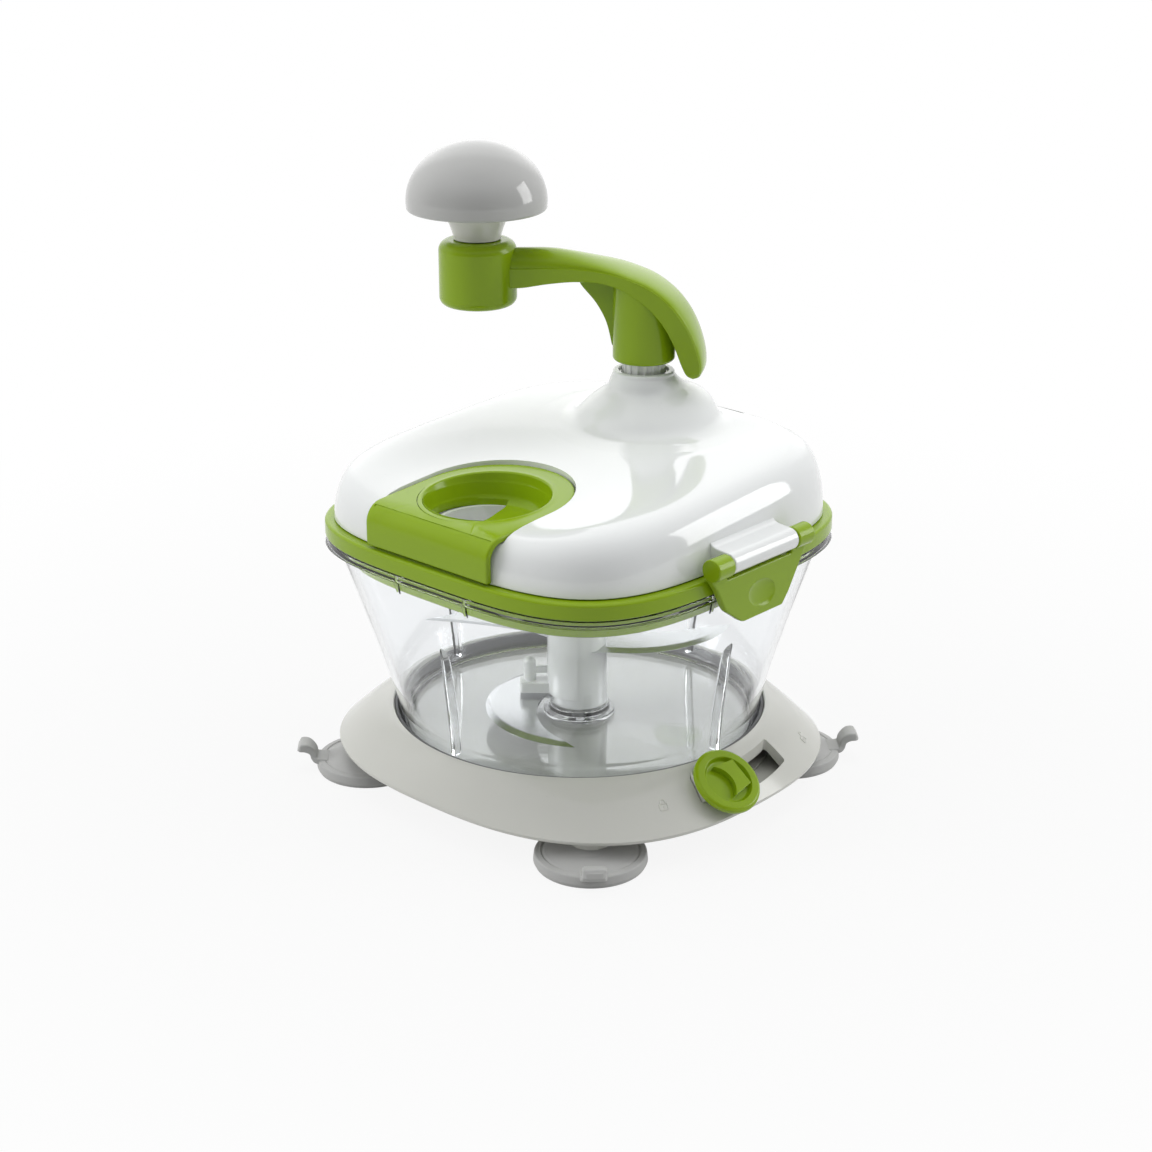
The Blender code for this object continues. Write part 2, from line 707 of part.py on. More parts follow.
def make_suction_knob(axis):
    """Round grip with a dished face, a crescent ridge and a finger fin."""
    rim = SUCTION_KNOB_R
    profile = [
        (0, 1.2 * MM),
        (9.3 * MM, 1.2 * MM),
        (9.6 * MM, SUCTION_KNOB_T),
        (rim - 1 * MM, SUCTION_KNOB_T),
        (rim, SUCTION_KNOB_T - 1 * MM),
        (rim, 0.6 * MM),
        (rim - 0.6 * MM, 0),
        (0, 0),
    ]
    knob = add_part("suction_knob", revolve("suction_knob", profile, 24), GREEN)
    knob.parent = axis
    knob.matrix_world = knob_frame()
    ridge = arc_points((-2.6 * MM, 0), 6.2 * MM, -100, 100, 12) + arc_points((-4.0 * MM, 0), 5.4 * MM, 80, -80, 12)
    crescent = add_cutter("knob_crescent", prism("knob_crescent", ridge, 0.8 * MM, SUCTION_KNOB_T + 0.4 * MM))
    crescent.matrix_world = knob_frame() @ Matrix.Rotation(math.radians(150), 4, "Z")
    fin_outline = [(3.2 * MM, -0.8 * MM), (9.9 * MM, -0.8 * MM), (9.9 * MM, 0.8 * MM), (3.2 * MM, 0.8 * MM)]
    fin = add_cutter("knob_fin", prism("knob_fin", fin_outline, 0.8 * MM, SUCTION_KNOB_T + 0.2 * MM))
    fin.matrix_world = knob_frame() @ Matrix.Rotation(math.radians(95), 4, "Z")
    join(knob, crescent, fin)


def plunger_seat():
    """Underside of a plunger's head while the cam holds it up."""
    return cam_top() + 1.5 * REST


def make_plungers():
    """Stems that the cams pull up to hollow the suction cups."""
    seat, foot = plunger_seat(), PLUNGER_FOOT_Z + CAM_LIFT
    for k, (x, y) in enumerate(cup_places()):
        axis = add_axis(f"plunger_axis_{k + 1}", (x, y, 0))
        profile = [
            (0, seat + 1.2 * MM),
            (PLUNGER_HEAD_R, seat + 1.2 * MM),
            (PLUNGER_HEAD_R, seat),
            (PLUNGER_R, seat),
            (PLUNGER_R, foot),
            (CUP_POCKET_R - 0.6 * MM, foot),
            (CUP_POCKET_R - 0.6 * MM, foot - 1.4 * MM),
            (0, foot - 1.4 * MM),
        ]
        name = f"suction_plunger_{k + 1}"
        add_part(name, revolve(name, profile, 12), OFF_WHITE, parent=axis)


# Bowl


def bowl_outline(z, inset=0.0):
    """Bowl section at a height: round at the foot, a rounded square at the rim."""
    share = max(0.0, (z - FOOT_TOP_Z) / (BOWL_TOP_Z - FOOT_TOP_Z)) ** 1.1
    foot = oval(FOOT_R - inset, FOOT_R - inset)
    rim = squircle(BOWL_HALF - inset, BOWL_HALF - inset, BOWL_POWER)
    return blend(foot, rim, share)


def bowl_bottom():
    return BASE_FLOOR_Z + REST


def bowl_floor():
    return bowl_bottom() + BOWL_FLOOR_T


def make_bowl():
    heights = [FOOT_TOP_Z + (BOWL_FLANGE_Z - FOOT_TOP_Z) * k / 3 for k in range(4)]
    outer = [level(oval(FOOT_R - 1.2 * MM, FOOT_R - 1.2 * MM), bowl_bottom())]
    outer += [level(oval(FOOT_R, FOOT_R), bowl_bottom() + 1.2 * MM)]
    outer += [level(bowl_outline(z), z) for z in heights]
    flange = squircle(BOWL_FLANGE_HALF, BOWL_FLANGE_HALF, BOWL_POWER)
    outer += [level(flange, BOWL_FLANGE_Z), level(flange, BOWL_TOP_Z)]
    bowl = add_part("bowl", loft("bowl", outer), CLEAR)
    for side in range(4):
        turn = (0, 0, math.radians(90 * side))
        for sign in (-1, 1):
            join(bowl, add_cutter(f"gusset_{side}_{sign + 1}", gusset_mesh(sign), (0, 0, 0), turn))
    inner = [level(oval(FOOT_R - BOWL_WALL - 4 * MM, FOOT_R - BOWL_WALL - 4 * MM), bowl_floor())]
    inner += [level(oval(FOOT_R - BOWL_WALL - 1 * MM, FOOT_R - BOWL_WALL - 1 * MM), bowl_floor() + 1.4 * MM)]
    inner += [level(bowl_outline(z, BOWL_WALL), z) for z in (heights[0], heights[2], BOWL_TOP_Z)]
    inner += [level(bowl_outline(BOWL_TOP_Z, BOWL_WALL), BOWL_TOP_Z + 5 * MM)]
    cut(bowl, add_cutter("bowl_inside", loft("bowl_inside", inner)))
    boss = revolve("bowl_boss", [
        (0, bowl_floor() + BOSS_H),
        (BOSS_STEP_R, bowl_floor() + BOSS_H),
        (BOSS_STEP_R, bowl_floor() + 2.0 * MM),
        (BOSS_R, bowl_floor() + 1.4 * MM),
        (BOSS_R, bowl_bottom() + 1 * MM),
        (0, bowl_bottom() + 1 * MM),
    ], 24)
    join(bowl, add_cutter("bowl_boss", boss))
    for side in range(4):
        join(bowl, add_cutter(f"bowl_rib_{side}", rib_mesh(), (0, 0, 0), (0, 0, math.radians(90 * side))))
    socket = rod("pivot_socket", PIVOT_R + 0.1 * MM, bowl_bottom() + 1.5 * MM, bowl_floor() + 6 * MM, 20)
    cut(bowl, add_cutter("pivot_socket", socket))
    pin = revolve("pivot_pin", [
        (0, PIVOT_TOP_Z),
        (PIVOT_R - 1.2 * MM, PIVOT_TOP_Z),
        (PIVOT_R, PIVOT_TOP_Z - 1.2 * MM),
        (PIVOT_R, bowl_bottom() + 1.5 * MM + REST),
        (0, bowl_bottom() + 1.5 * MM + REST),
    ], 20)
    add_part("pivot_pin", pin, STEEL)
    return bowl


def gusset_mesh(sign):
    """Triangular web under the bowl's rim, drawn on the -Y side."""
    root = BOWL_HALF - 3.4 * MM
    outline = [
        (-BOWL_FLANGE_HALF + 0.9 * MM, BOWL_FLANGE_Z + 1 * MM),
        (-root, BOWL_FLANGE_Z + 1 * MM),
        (-root + 1.4 * MM, BOWL_FLANGE_Z - GUSSET_DROP),
        (-BOWL_FLANGE_HALF + 3.4 * MM, BOWL_FLANGE_Z - GUSSET_DROP),
    ]
    x = sign * GUSSET_AT
    return slab_x("gusset", outline, x - GUSSET_T / 2, x + GUSSET_T / 2)


def rib_mesh():
    """Upright rib with a pointed top inside the -Y wall."""
    low = bowl_floor() + 5 * MM
    lean = (BOWL_HALF - FOOT_R) / (BOWL_TOP_Z - FOOT_TOP_Z)
    wall_low = FOOT_R - BOWL_WALL + 1 * MM
    wall_high = FOOT_R - BOWL_WALL + lean * (RIB_TOP_Z - FOOT_TOP_Z) + 0.6 * MM
    outline = [
        (-wall_low, low),
        (-wall_low + RIB_DEPTH, low),
        (-wall_high + RIB_DEPTH - 0.6 * MM, RIB_TOP_Z - 5 * MM),
        (-wall_high, RIB_TOP_Z),
    ]
    return slab_x("rib", outline, -RIB_T / 2, RIB_T / 2)


# Blades


def blade_specs():
    """Level, heading of the tip, then cutting edge and back through three points each, tip on +X."""
    low_edge = ((-19.0, -25.5), (22.0, -36.6), (52.4, 1.0))
    low_back = ((52.4, 1.0), (26.0, -15.6), (4.0, -14.0))
    low_root = ((9.0, -5.0), (8.0, 4.0), (1.0, 9.5), (-9.0, 6.0))
    top_edge = ((9.0, -13.2), (32.0, -18.3), (66.0, 0.0))
    top_back = ((66.0, 0.0), (40.0, -0.6), (18.0, 2.6))
    top_root = ((10.0, 7.0), (0.0, 9.5), (-8.0, 5.0), (-8.0, -5.0), (-2.0, -10.0))
    return (
        (BLADE_LOW_Z, 309.2, low_edge, low_back, low_root),
        (BLADE_MIDDLE_Z, 57.7, top_edge, top_back, top_root),
        (BLADE_TOP_Z, 210.2, top_edge, top_back, top_root),
    )


def circle_through(a, b, c):
    """Centre and radius of the circle through three points."""
    ax, ay, bx, by, cx, cy = *a, *b, *c
    d = 2 * (ax * (by - cy) + bx * (cy - ay) + cx * (ay - by))
    sa, sb, sc = ax**2 + ay**2, bx**2 + by**2, cx**2 + cy**2
    x = (sa * (by - cy) + sb * (cy - ay) + sc * (ay - by)) / d
    y = (sa * (cx - bx) + sb * (ax - cx) + sc * (bx - ax)) / d
    return (x, y), math.hypot(ax - x, ay - y)


def arc_through(a, b, c, count, grow=0.0):
    """Points from the first to the third point of an arc through three points."""
    centre, radius = circle_through(a, b, c)
    start, middle, end = (math.atan2(p[1] - centre[1], p[0] - centre[0]) for p in (a, b, c))
    sweep = (end - start) % (2 * math.pi)
    if (middle - start) % (2 * math.pi) > sweep:
        sweep -= 2 * math.pi
    radius += grow
    steps = [start + sweep * k / count for k in range(count + 1)]
    return [(centre[0] + radius * math.cos(t), centre[1] + radius * math.sin(t)) for t in steps]


def blade_outline(edge, back, root, grow=0.0):
    """Scimitar with a bowed cutting edge, a hollow back and a tang inside the hub."""
    points = arc_through(*edge, 14, grow)
    points += arc_through(*back, 7, -grow)[1:]
    spread = 1 + grow / 3
    points += [(x * spread, y * spread) for x, y in root]
    return [(x * MM, y * MM) for x, y in points]


def make_blades(axis):
    hub_low, hub_high = HUB_BOTTOM_Z, HUB_TOP_Z
    lean = (HUB_BOTTOM_R - HUB_TOP_R) / (hub_high - hub_low)
    hub = add_part("blade_hub", revolve("blade_hub", [
        (0, hub_high),
        (HUB_TOP_R - 0.8 * MM, hub_high),
        (HUB_TOP_R, hub_high - 0.8 * MM),
        (HUB_BOTTOM_R, hub_low + 0.6 * MM),
        (HUB_BOTTOM_R - 0.6 * MM, hub_low),
        (0, hub_low),
    ], 28), WHITE, parent=axis)
    bore = rod("hub_bore", PIVOT_R + TURN, hub_low - 1 * MM, PIVOT_TOP_Z + 0.5 * MM, 20)
    socket = rod("hub_socket", DRIVE_HEX_R + TURN, hub_high - DRIVE_DEPTH, hub_high + 1 * MM, 6)
    cut(hub, add_cutter("hub_bore", bore), add_cutter("hub_socket", socket))
    carrier = make_carrier(axis, lean)
    for k, (z, heading, edge, back, root) in enumerate(blade_specs()):
        name, turn = f"blade_{k + 1}", (0, 0, math.radians(heading))
        half = BLADE_T / 2
        mesh = prism(name, blade_outline(edge, back, root), z - half, z + half)
        blade = add_part(name, mesh, STEEL, turn=turn, parent=axis)
        cut(blade, add_cutter(f"blade_core_{k}", rod(f"blade_core_{k}", TANG_R, z - BLADE_T, z + BLADE_T, 20)))
        cut(blade, add_cutter(f"blade_grind_{k}", grind_mesh(edge, z), (0, 0, 0), turn))
        half += FIT
        outline = blade_outline(edge, back, root, FIT / MM)
        slot = add_cutter(f"blade_slot_{k}", prism(f"blade_slot_{k}", outline, z - half, z + half), (0, 0, 0), turn)
        core = rod(f"slot_core_{k}", TANG_R - FIT, z - BLADE_T, z + BLADE_T, 20)
        combine(slot, add_cutter(f"slot_core_{k}", core), "DIFFERENCE")
        cut(hub, slot)
        if z > CARRIER_Z:
            cut(carrier, slot)
    return hub


def grind_mesh(edge, z):
    """Wedge that grinds the cutting edge of a blade to a thin land."""
    centre, radius = circle_through(*edge)
    radius *= MM
    low, high = z - BLADE_T / 2, z + BLADE_T / 2
    ring = revolve("blade_grind", [
        (radius - BLADE_BEVEL, high + 3 * MM),
        (radius + 4 * MM, high + 3 * MM),
        (radius + 4 * MM, low + 0.3 * MM),
        (radius, low + 0.3 * MM),
        (radius - BLADE_BEVEL, high),
    ], 72)
    return moved(ring, Matrix.Translation((centre[0] * MM, centre[1] * MM, 0)))


def make_carrier(axis, lean):
    """Half sleeve on the hub with a lug and a peg, which lock the blades in the hub."""
    low, high = CARRIER_Z, CARRIER_TOP_Z
    r_low = HUB_BOTTOM_R - lean * (low - HUB_BOTTOM_Z) + TURN
    r_high = HUB_BOTTOM_R - lean * (high - HUB_BOTTOM_Z) + TURN
    sleeve = revolve("blade_carrier", [
        (r_high, high),
        (r_high + CARRIER_T, high),
        (r_low + CARRIER_T, low),
        (r_low, low),
    ], 28)
    facing = CARRIER_FACING
    carrier = add_part("blade_carrier", sleeve, WHITE, turn=(0, 0, facing), parent=axis)
    trim = box("carrier_trim", (-0.5 * MM, -LUG_REACH, low - 5 * MM), (LUG_REACH, LUG_REACH, high + 5 * MM))
    cut(carrier, add_cutter("carrier_trim", trim, (0, 0, 0), (0, 0, facing)))
    in_x = -r_low - 0.4 * MM
    lug = box("carrier_lug", (-LUG_REACH, -5 * MM, low), (in_x, 3.6 * MM, low + LUG_T))
    peg = revolve("carrier_peg", [
        (0, PEG_TOP_Z),
        (1.4 * MM, PEG_TOP_Z - 0.5 * MM),
        (PEG_R, PEG_TOP_Z - 2.2 * MM),
        (PEG_R, low + LUG_T - 1 * MM),
        (0, low + LUG_T - 1 * MM),
    ], 16)
    bridge = box("carrier_bridge", (-PEG_AT, -0.8 * MM, low + LUG_T + 4 * MM), (in_x, 0.8 * MM, low + LUG_T + 6 * MM))
    join(
        carrier,
        add_cutter("carrier_lug", lug, (0, 0, 0), (0, 0, facing)),
        add_cutter("carrier_peg", peg, (-PEG_AT * math.cos(facing), -PEG_AT * math.sin(facing), 0), (0, 0, facing)),
        add_cutter("carrier_bridge", bridge, (0, 0, 0), (0, 0, facing)),
    )
    return carrier


# Lid plate


def plate_outline(half):
    return squircle(half, half, PLATE_POWER)


def floor_top():
    return PLATE_Z + PLATE_FLOOR_T


def flange_top():
    return PLATE_Z + FLANGE_T


def make_lid_plate():
    inside = COVER_HALF - COVER_WALL - 0.8 * MM
    skirt_in = BOWL_WALL + 1.0 * MM
    rings = [
        level(plate_outline(inside), flange_top()),
        level(plate_outline(PLATE_HALF - 0.9 * MM), flange_top()),
        level(plate_outline(PLATE_HALF), flange_top() - 0.9 * MM),
        level(plate_outline(PLATE_HALF), PLATE_Z + 0.8 * MM),
        level(plate_outline(PLATE_HALF - 0.8 * MM), PLATE_Z),
        level(bowl_outline(BOWL_TOP_Z, skirt_in), PLATE_Z),
        level(bowl_outline(SKIRT_BOTTOM_Z, skirt_in), SKIRT_BOTTOM_Z),
    ]
    plate = add_part("lid_plate", loft("lid_plate", rings), GREEN)
    above = prism("plate_above", plate_outline(inside - 1.6 * MM), floor_top(), flange_top() + 5 * MM)
    below = loft("plate_below", [
        level(bowl_outline(SKIRT_BOTTOM_Z, skirt_in + SKIRT_T), SKIRT_BOTTOM_Z - 5 * MM),
        level(bowl_outline(BOWL_TOP_Z, skirt_in + SKIRT_T), PLATE_Z),
    ])
    chute = prism("plate_chute", oval(CHUTE_HALF_X + CHUTE_WALL + FIT, CHUTE_HALF_Y + CHUTE_WALL + FIT, DISH_Y), SKIRT_BOTTOM_Z, COVER_Z)
    shaft = rod("shaft_hole", DRIVE_HEX_R + 1.4 * MM, SKIRT_BOTTOM_Z, COVER_Z, 22)
    journal = rod("journal_hole", SPINDLE_FOOT_R + TURN, SKIRT_BOTTOM_Z, COVER_Z, 22)
    cut(
        plate,
        add_cutter("plate_above", above),
        add_cutter("plate_below", below),
        add_cutter("plate_chute", chute),
        add_cutter("shaft_hole", shaft, (0, 0, 0), (0, 0, HOLE_TURN)),
        add_cutter("journal_hole", journal, (0, CRANK_Y, 0), (0, 0, HOLE_TURN)),
    )
    for k, (x, y) in enumerate(cover_screw_places() + bridge_places()):
        hole = rod(f"lid_hole_{k}", 1.9 * MM, SKIRT_BOTTOM_Z, COVER_Z, 8)
        cut(plate, add_cutter(f"lid_hole_{k}", hole, (x, y, 0)))
    return plate


def cover_screw_places():
    return [(sx * COVER_SCREW_X, sy * COVER_SCREW_Y) for sx in (-1, 1) for sy in (-1, 1)]


def bridge_places():
    rear = CRANK_Y + MODULE * (DRIVE_TEETH / 2 + 1) + BRIDGE_POST_GAP + BRIDGE_POST_R
    return [(-BRIDGE_FOOT_X, BRIDGE_FOOT_Y), (BRIDGE_FOOT_X, BRIDGE_FOOT_Y), (0, rear)]


def make_lid_seal():
    outer = squircle(BOWL_FLANGE_HALF - 0.4 * MM, BOWL_FLANGE_HALF - 0.4 * MM, BOWL_POWER)
    inner = squircle(BOWL_HALF - BOWL_WALL + 0.4 * MM, BOWL_HALF - BOWL_WALL + 0.4 * MM, BOWL_POWER)
    low, high = BOWL_TOP_Z + REST, PLATE_Z - REST
    seal = add_part("lid_seal", prism("lid_seal", outer, low, high), RUBBER_GREY)
    cut(seal, add_cutter("seal_inside", prism("seal_inside", inner, low - 1 * MM, high + 1 * MM)))


# Lid cover


def cover_ring(half, share, drop=0.0):
    """Ring of the cover at a share of its full height."""
    shrink = (1 - share**SHOULDER_ROUND) ** (1 / SHOULDER)
    outline = squircle(half * shrink, half * shrink, COVER_POWER)
    top = COVER_RISE + COVER_DOME * (1 - shrink**2)
    return [(x, y, COVER_Z - drop + (top + COVER_SLOPE * y) * share) for x, y in outline]


def cover_plane(y):
    return COVER_Z + COVER_RISE + COVER_DOME * 0.6 + COVER_SLOPE * y


def dome_ring(half_x, half_y, shift, height, tilt, drop=0.0):
    """Ring of the bell over the crank axis; tilt 1 follows the cover's slope."""
    base = cover_plane(CRANK_Y)
    points = oval(half_x, half_y, CRANK_Y + shift)
    return [(x, y, base - drop + height + tilt * COVER_SLOPE * (y - CRANK_Y)) for x, y in points]


def cover_rings(half, thin, drop):
    """Cover from its lower edge over the shoulder to the bell and its neck."""
    shares = (0.45, 0.68, 0.84, 0.95) if thin == 0 else (0.6, 0.88)
    rings = [level(squircle(half, half, COVER_POWER), COVER_Z - drop)]
    rings += [cover_ring(half, share, drop) for share in shares]
    bell = [
        (36.0, 31.0, 1.0, 0.4, 1.0),
        (31.0, 29.0, 2.0, 2.6, 1.0),
        (27.0, 27.0, 3.6, 6.4, 0.8),
        (23.4, 23.8, 4.6, 9.6, 0.5),
        (20.0, 20.4, 4.2, 12.0, 0.25),
        (16.4, 16.8, 2.4, 14.4, 0.1),
        (14.2, 14.3, 0.6, 17.6, 0.0),
    ]
    if thin:
        bell = bell[0::2]
    for half_x, half_y, shift, height, tilt in bell:
        rings.append(dome_ring(half_x * MM - thin, half_y * MM - thin, shift * MM, height * MM, tilt, drop))
    top = oval(NECK_R - thin, NECK_R - thin, CRANK_Y)
    rings.append(level(top, NECK_TOP_Z - 1.4 * MM - drop))
    rings.append(level(oval(NECK_R - thin - 0.8 * MM, NECK_R - thin - 0.8 * MM, CRANK_Y), NECK_TOP_Z - drop))
    return rings


def cap_outline(grow=0.0):
    """U-shaped plan of the feed cap: straight sides and a round back end."""
    centre = CAP_BACK_Y - CAP_HALF
    points = arc_points((0, centre), CAP_HALF + grow, 0, 180, 16)
    front = CAP_FRONT_Y - 6 * MM
    return points + [(-CAP_HALF - grow, front), (CAP_HALF + grow, front)]


def cap_side(offset=0.0):
    """Side profile of the cap's skin in (y, z): sloped top, rolled front, flap."""
    centre_y = CAP_FRONT_Y + CAP_ROLL
    top_front = CAP_Z + CAP_SLOPE * (centre_y - CAP_Z_AT)
    centre_z = top_front - CAP_ROLL
    top_back = CAP_Z + CAP_SLOPE * (CAP_BACK_Y + 8 * MM - CAP_Z_AT)
    points = [(CAP_BACK_Y + 8 * MM, top_back - offset)]
    points += arc_points((centre_y, centre_z), CAP_ROLL - offset, 94, 180, 8)
    points.append((CAP_FRONT_Y + offset, FLAP_BOTTOM_Z))
    return points


def well_low():
    """Underside of the well that the feed cap lies in."""
    return COVER_Z + 7.2 * MM


def chute_mesh():
    """Wall of the feed chute, from the well down through the lid plate's floor."""
    outer = oval(CHUTE_HALF_X + CHUTE_WALL, CHUTE_HALF_Y + CHUTE_WALL, DISH_Y)
    return prism("chute_wall", outer, PLATE_Z + REST, well_low() + 1.5 * MM)


def make_lid_cover():
    cover = add_part("lid_cover", loft("lid_cover", cover_rings(COVER_HALF, 0.0, 0.0)), WHITE)
    inner = add_cutter("cover_inside", loft("cover_inside", cover_rings(COVER_HALF - COVER_WALL, 2.2 * MM, 2.4 * MM)))
    block = add_cutter("well_block", prism("well_block", cap_outline(WELL_WALL + CAP_GAP), well_low(), NECK_TOP_Z))
    apron = add_cutter("well_apron", box(
        "well_apron",
        (-CAP_HALF - WELL_WALL, CAP_FRONT_Y - 2 * MM, COVER_Z - 2 * MM),
        (CAP_HALF + WELL_WALL, CAP_FRONT_Y + CAP_T + CAP_GAP + WELL_WALL, well_low() + 1 * MM),
    ))
    cut(inner, block, apron)
    cut(cover, inner)
    join(cover, add_cutter("chute_wall", chute_mesh()))
    skin = cap_side(CAP_T + CAP_GAP)
    skin[-1] = (skin[-1][0], PLATE_Z)
    front, top = CAP_FRONT_Y - 8 * MM, NECK_TOP_Z
    pocket_side = skin + [(front, PLATE_Z), (front, top), (CAP_BACK_Y + 8 * MM, top)]
    pocket = add_cutter("cap_pocket", slab_x("cap_pocket", pocket_side, -CAP_HALF - 6 * MM, CAP_HALF + 6 * MM))
    combine(pocket, add_cutter("pocket_plan", prism("pocket_plan", cap_outline(CAP_GAP), PLATE_Z - 5 * MM, NECK_TOP_Z + 5 * MM)), "INTERSECT")
    wide_x, wide_y = DISH_HALF_X + DISH_WALL + CAP_GAP, DISH_HALF_Y + DISH_WALL + CAP_GAP
    seat = prism("dish_seat", oval(wide_x, wide_y, DISH_Y), DISH_FLOOR_Z - DISH_WALL - CAP_GAP, NECK_TOP_Z)
    chute = prism("cover_chute", oval(CHUTE_HALF_X, CHUTE_HALF_Y, DISH_Y), SKIRT_BOTTOM_Z, NECK_TOP_Z)
    cut(cover, pocket, add_cutter("dish_seat", seat), add_cutter("cover_chute", chute))
    for k, (x, y) in enumerate(cover_screw_places()):
        boss = rod(f"cover_boss_{k}", 3.8 * MM, floor_top() + REST, cover_plane(y) - 3.5 * MM, 10)
        join(cover, add_cutter(f"cover_boss_{k}", boss, (x, y, 0)))
        pilot = rod(f"cover_pilot_{k}", 1.7 * MM, floor_top() - 1 * MM, floor_top() + 9 * MM, 8)
        cut(cover, add_cutter(f"cover_pilot_{k}", pilot, (x, y, 0)))
    for sign in (-1, 1):
        join(cover, add_cutter(f"barrel_{sign + 1}", barrel_mesh(sign)))
        bore = moved(rod("bore", LATCH_PIN_R + FIT, -2 * BARREL_HALF, 2 * BARREL_HALF, 10), Matrix.Rotation(math.pi / 2, 4, "X"))
        cut(cover, add_cutter(f"barrel_bore_{sign + 1}", bore, (sign * LATCH_X, 0, LATCH_Z)))
    cut(cover, add_cutter("neck_hole", rod("neck_hole", SPINDLE_R + SPLINE_H + 1.5 * MM, CAP_Z, NECK_TOP_Z + 5 * MM, 24), (0, CRANK_Y, 0)))
    return cover


def barrel_mesh(sign):
    """Hinge barrel moulded on the cover's side, blended back into the wall."""
    outline = arc_points((LATCH_X, LATCH_Z), BARREL_R, -90, 90, 12)
    back = COVER_HALF - 1.2 * MM
    outline += [(back, LATCH_Z + BARREL_R + 1.6 * MM), (back, LATCH_Z - BARREL_R)]
    points = [(sign * x, z) for x, z in outline]
    mesh = prism("barrel", points, -BARREL_HALF, BARREL_HALF)
    mesh = moved(mesh, Matrix(((1, 0, 0, 0), (0, 0, 1, 0), (0, 1, 0, 0), (0, 0, 0, 1))))
    build = bmesh.new()
    build.from_mesh(mesh)
    bmesh.ops.recalc_face_normals(build, faces=build.faces)
    build.to_mesh(mesh)
    build.free()
    return mesh


# Feed cap


def make_feed_cap():
    """Lift-off cap with a flap down the front and a shallow dish with a half-moon mouth."""
    axis = add_axis("feed_cap_axis", (0, DISH_Y, 0))
    outer, inner = cap_side(0.0), cap_side(CAP_T)
    skin = slab_x("feed_cap", outer + list(reversed(inner)), -CAP_HALF - 4 * MM, CAP_HALF + 4 * MM)
    cap = add_part("feed_cap", skin, GREEN)
    cap.parent = axis
    cap.matrix_parent_inverse = Matrix.Translation((0, -DISH_Y, 0))
    combine(cap, add_cutter("cap_plan", prism("cap_plan", cap_outline(), PLATE_Z - 5 * MM, NECK_TOP_Z + 5 * MM)), "INTERSECT")
    dish = oval(DISH_HALF_X + DISH_WALL, DISH_HALF_Y + DISH_WALL, DISH_Y, 32)
    low = DISH_FLOOR_Z - DISH_WALL
    join(cap, add_cutter("cap_dish", prism("cap_dish", dish, low, CAP_Z - 0.8 * MM)))
    hollow = [
        level(oval(DISH_HALF_X - 4 * MM, DISH_HALF_Y - 4 * MM, DISH_Y, 32), DISH_FLOOR_Z),
        level(oval(DISH_HALF_X - 1.2 * MM, DISH_HALF_Y - 1.2 * MM, DISH_Y, 32), DISH_FLOOR_Z + 1.2 * MM),
        level(oval(DISH_HALF_X, DISH_HALF_Y, DISH_Y, 32), CAP_Z - 0.6 * MM),
        level(oval(DISH_HALF_X, DISH_HALF_Y, DISH_Y, 32), CAP_Z + 8 * MM),
    ]
    cut(cap, add_cutter("cap_hollow", loft("cap_hollow", hollow)))
    mouth = [(x, y) for x, y in oval(DISH_HALF_X - 2.2 * MM, DISH_HALF_Y - 2.2 * MM, DISH_Y, 32) if x < -1 * MM]
    cut(cap, add_cutter("cap_mouth", prism("cap_mouth", mouth, low - 6 * MM, low + 8 * MM)))
    return cap


# Latches


def latch_outline():
    """Latch seen from the side of the lid: two ears, a wide top, a rounded tail."""
    corner = 4 * MM
    half = 14.5 * MM
    right = [
        (EAR_OUT, LATCH_Z),
        (EAR_OUT, LATCH_Z - EAR_R - 1.5 * MM),
        (EAR_OUT - 3.2 * MM, LATCH_Z - EAR_R - 5 * MM),
    ]
    tail = arc_points((half - corner, LATCH_BOTTOM_Z + corner), corner, -20, -90, 5)
    low = [(y, z) for y, z in right] + tail
    inner = [(-BARREL_HALF - 0.4 * MM, LATCH_Z), (-BARREL_HALF - 0.4 * MM, LATCH_Z - BARREL_R - 0.7 * MM)]
    mirror = [(-y, z) for y, z in reversed(low)]
    return low + mirror + inner + [(-y, z) for y, z in reversed(inner)]


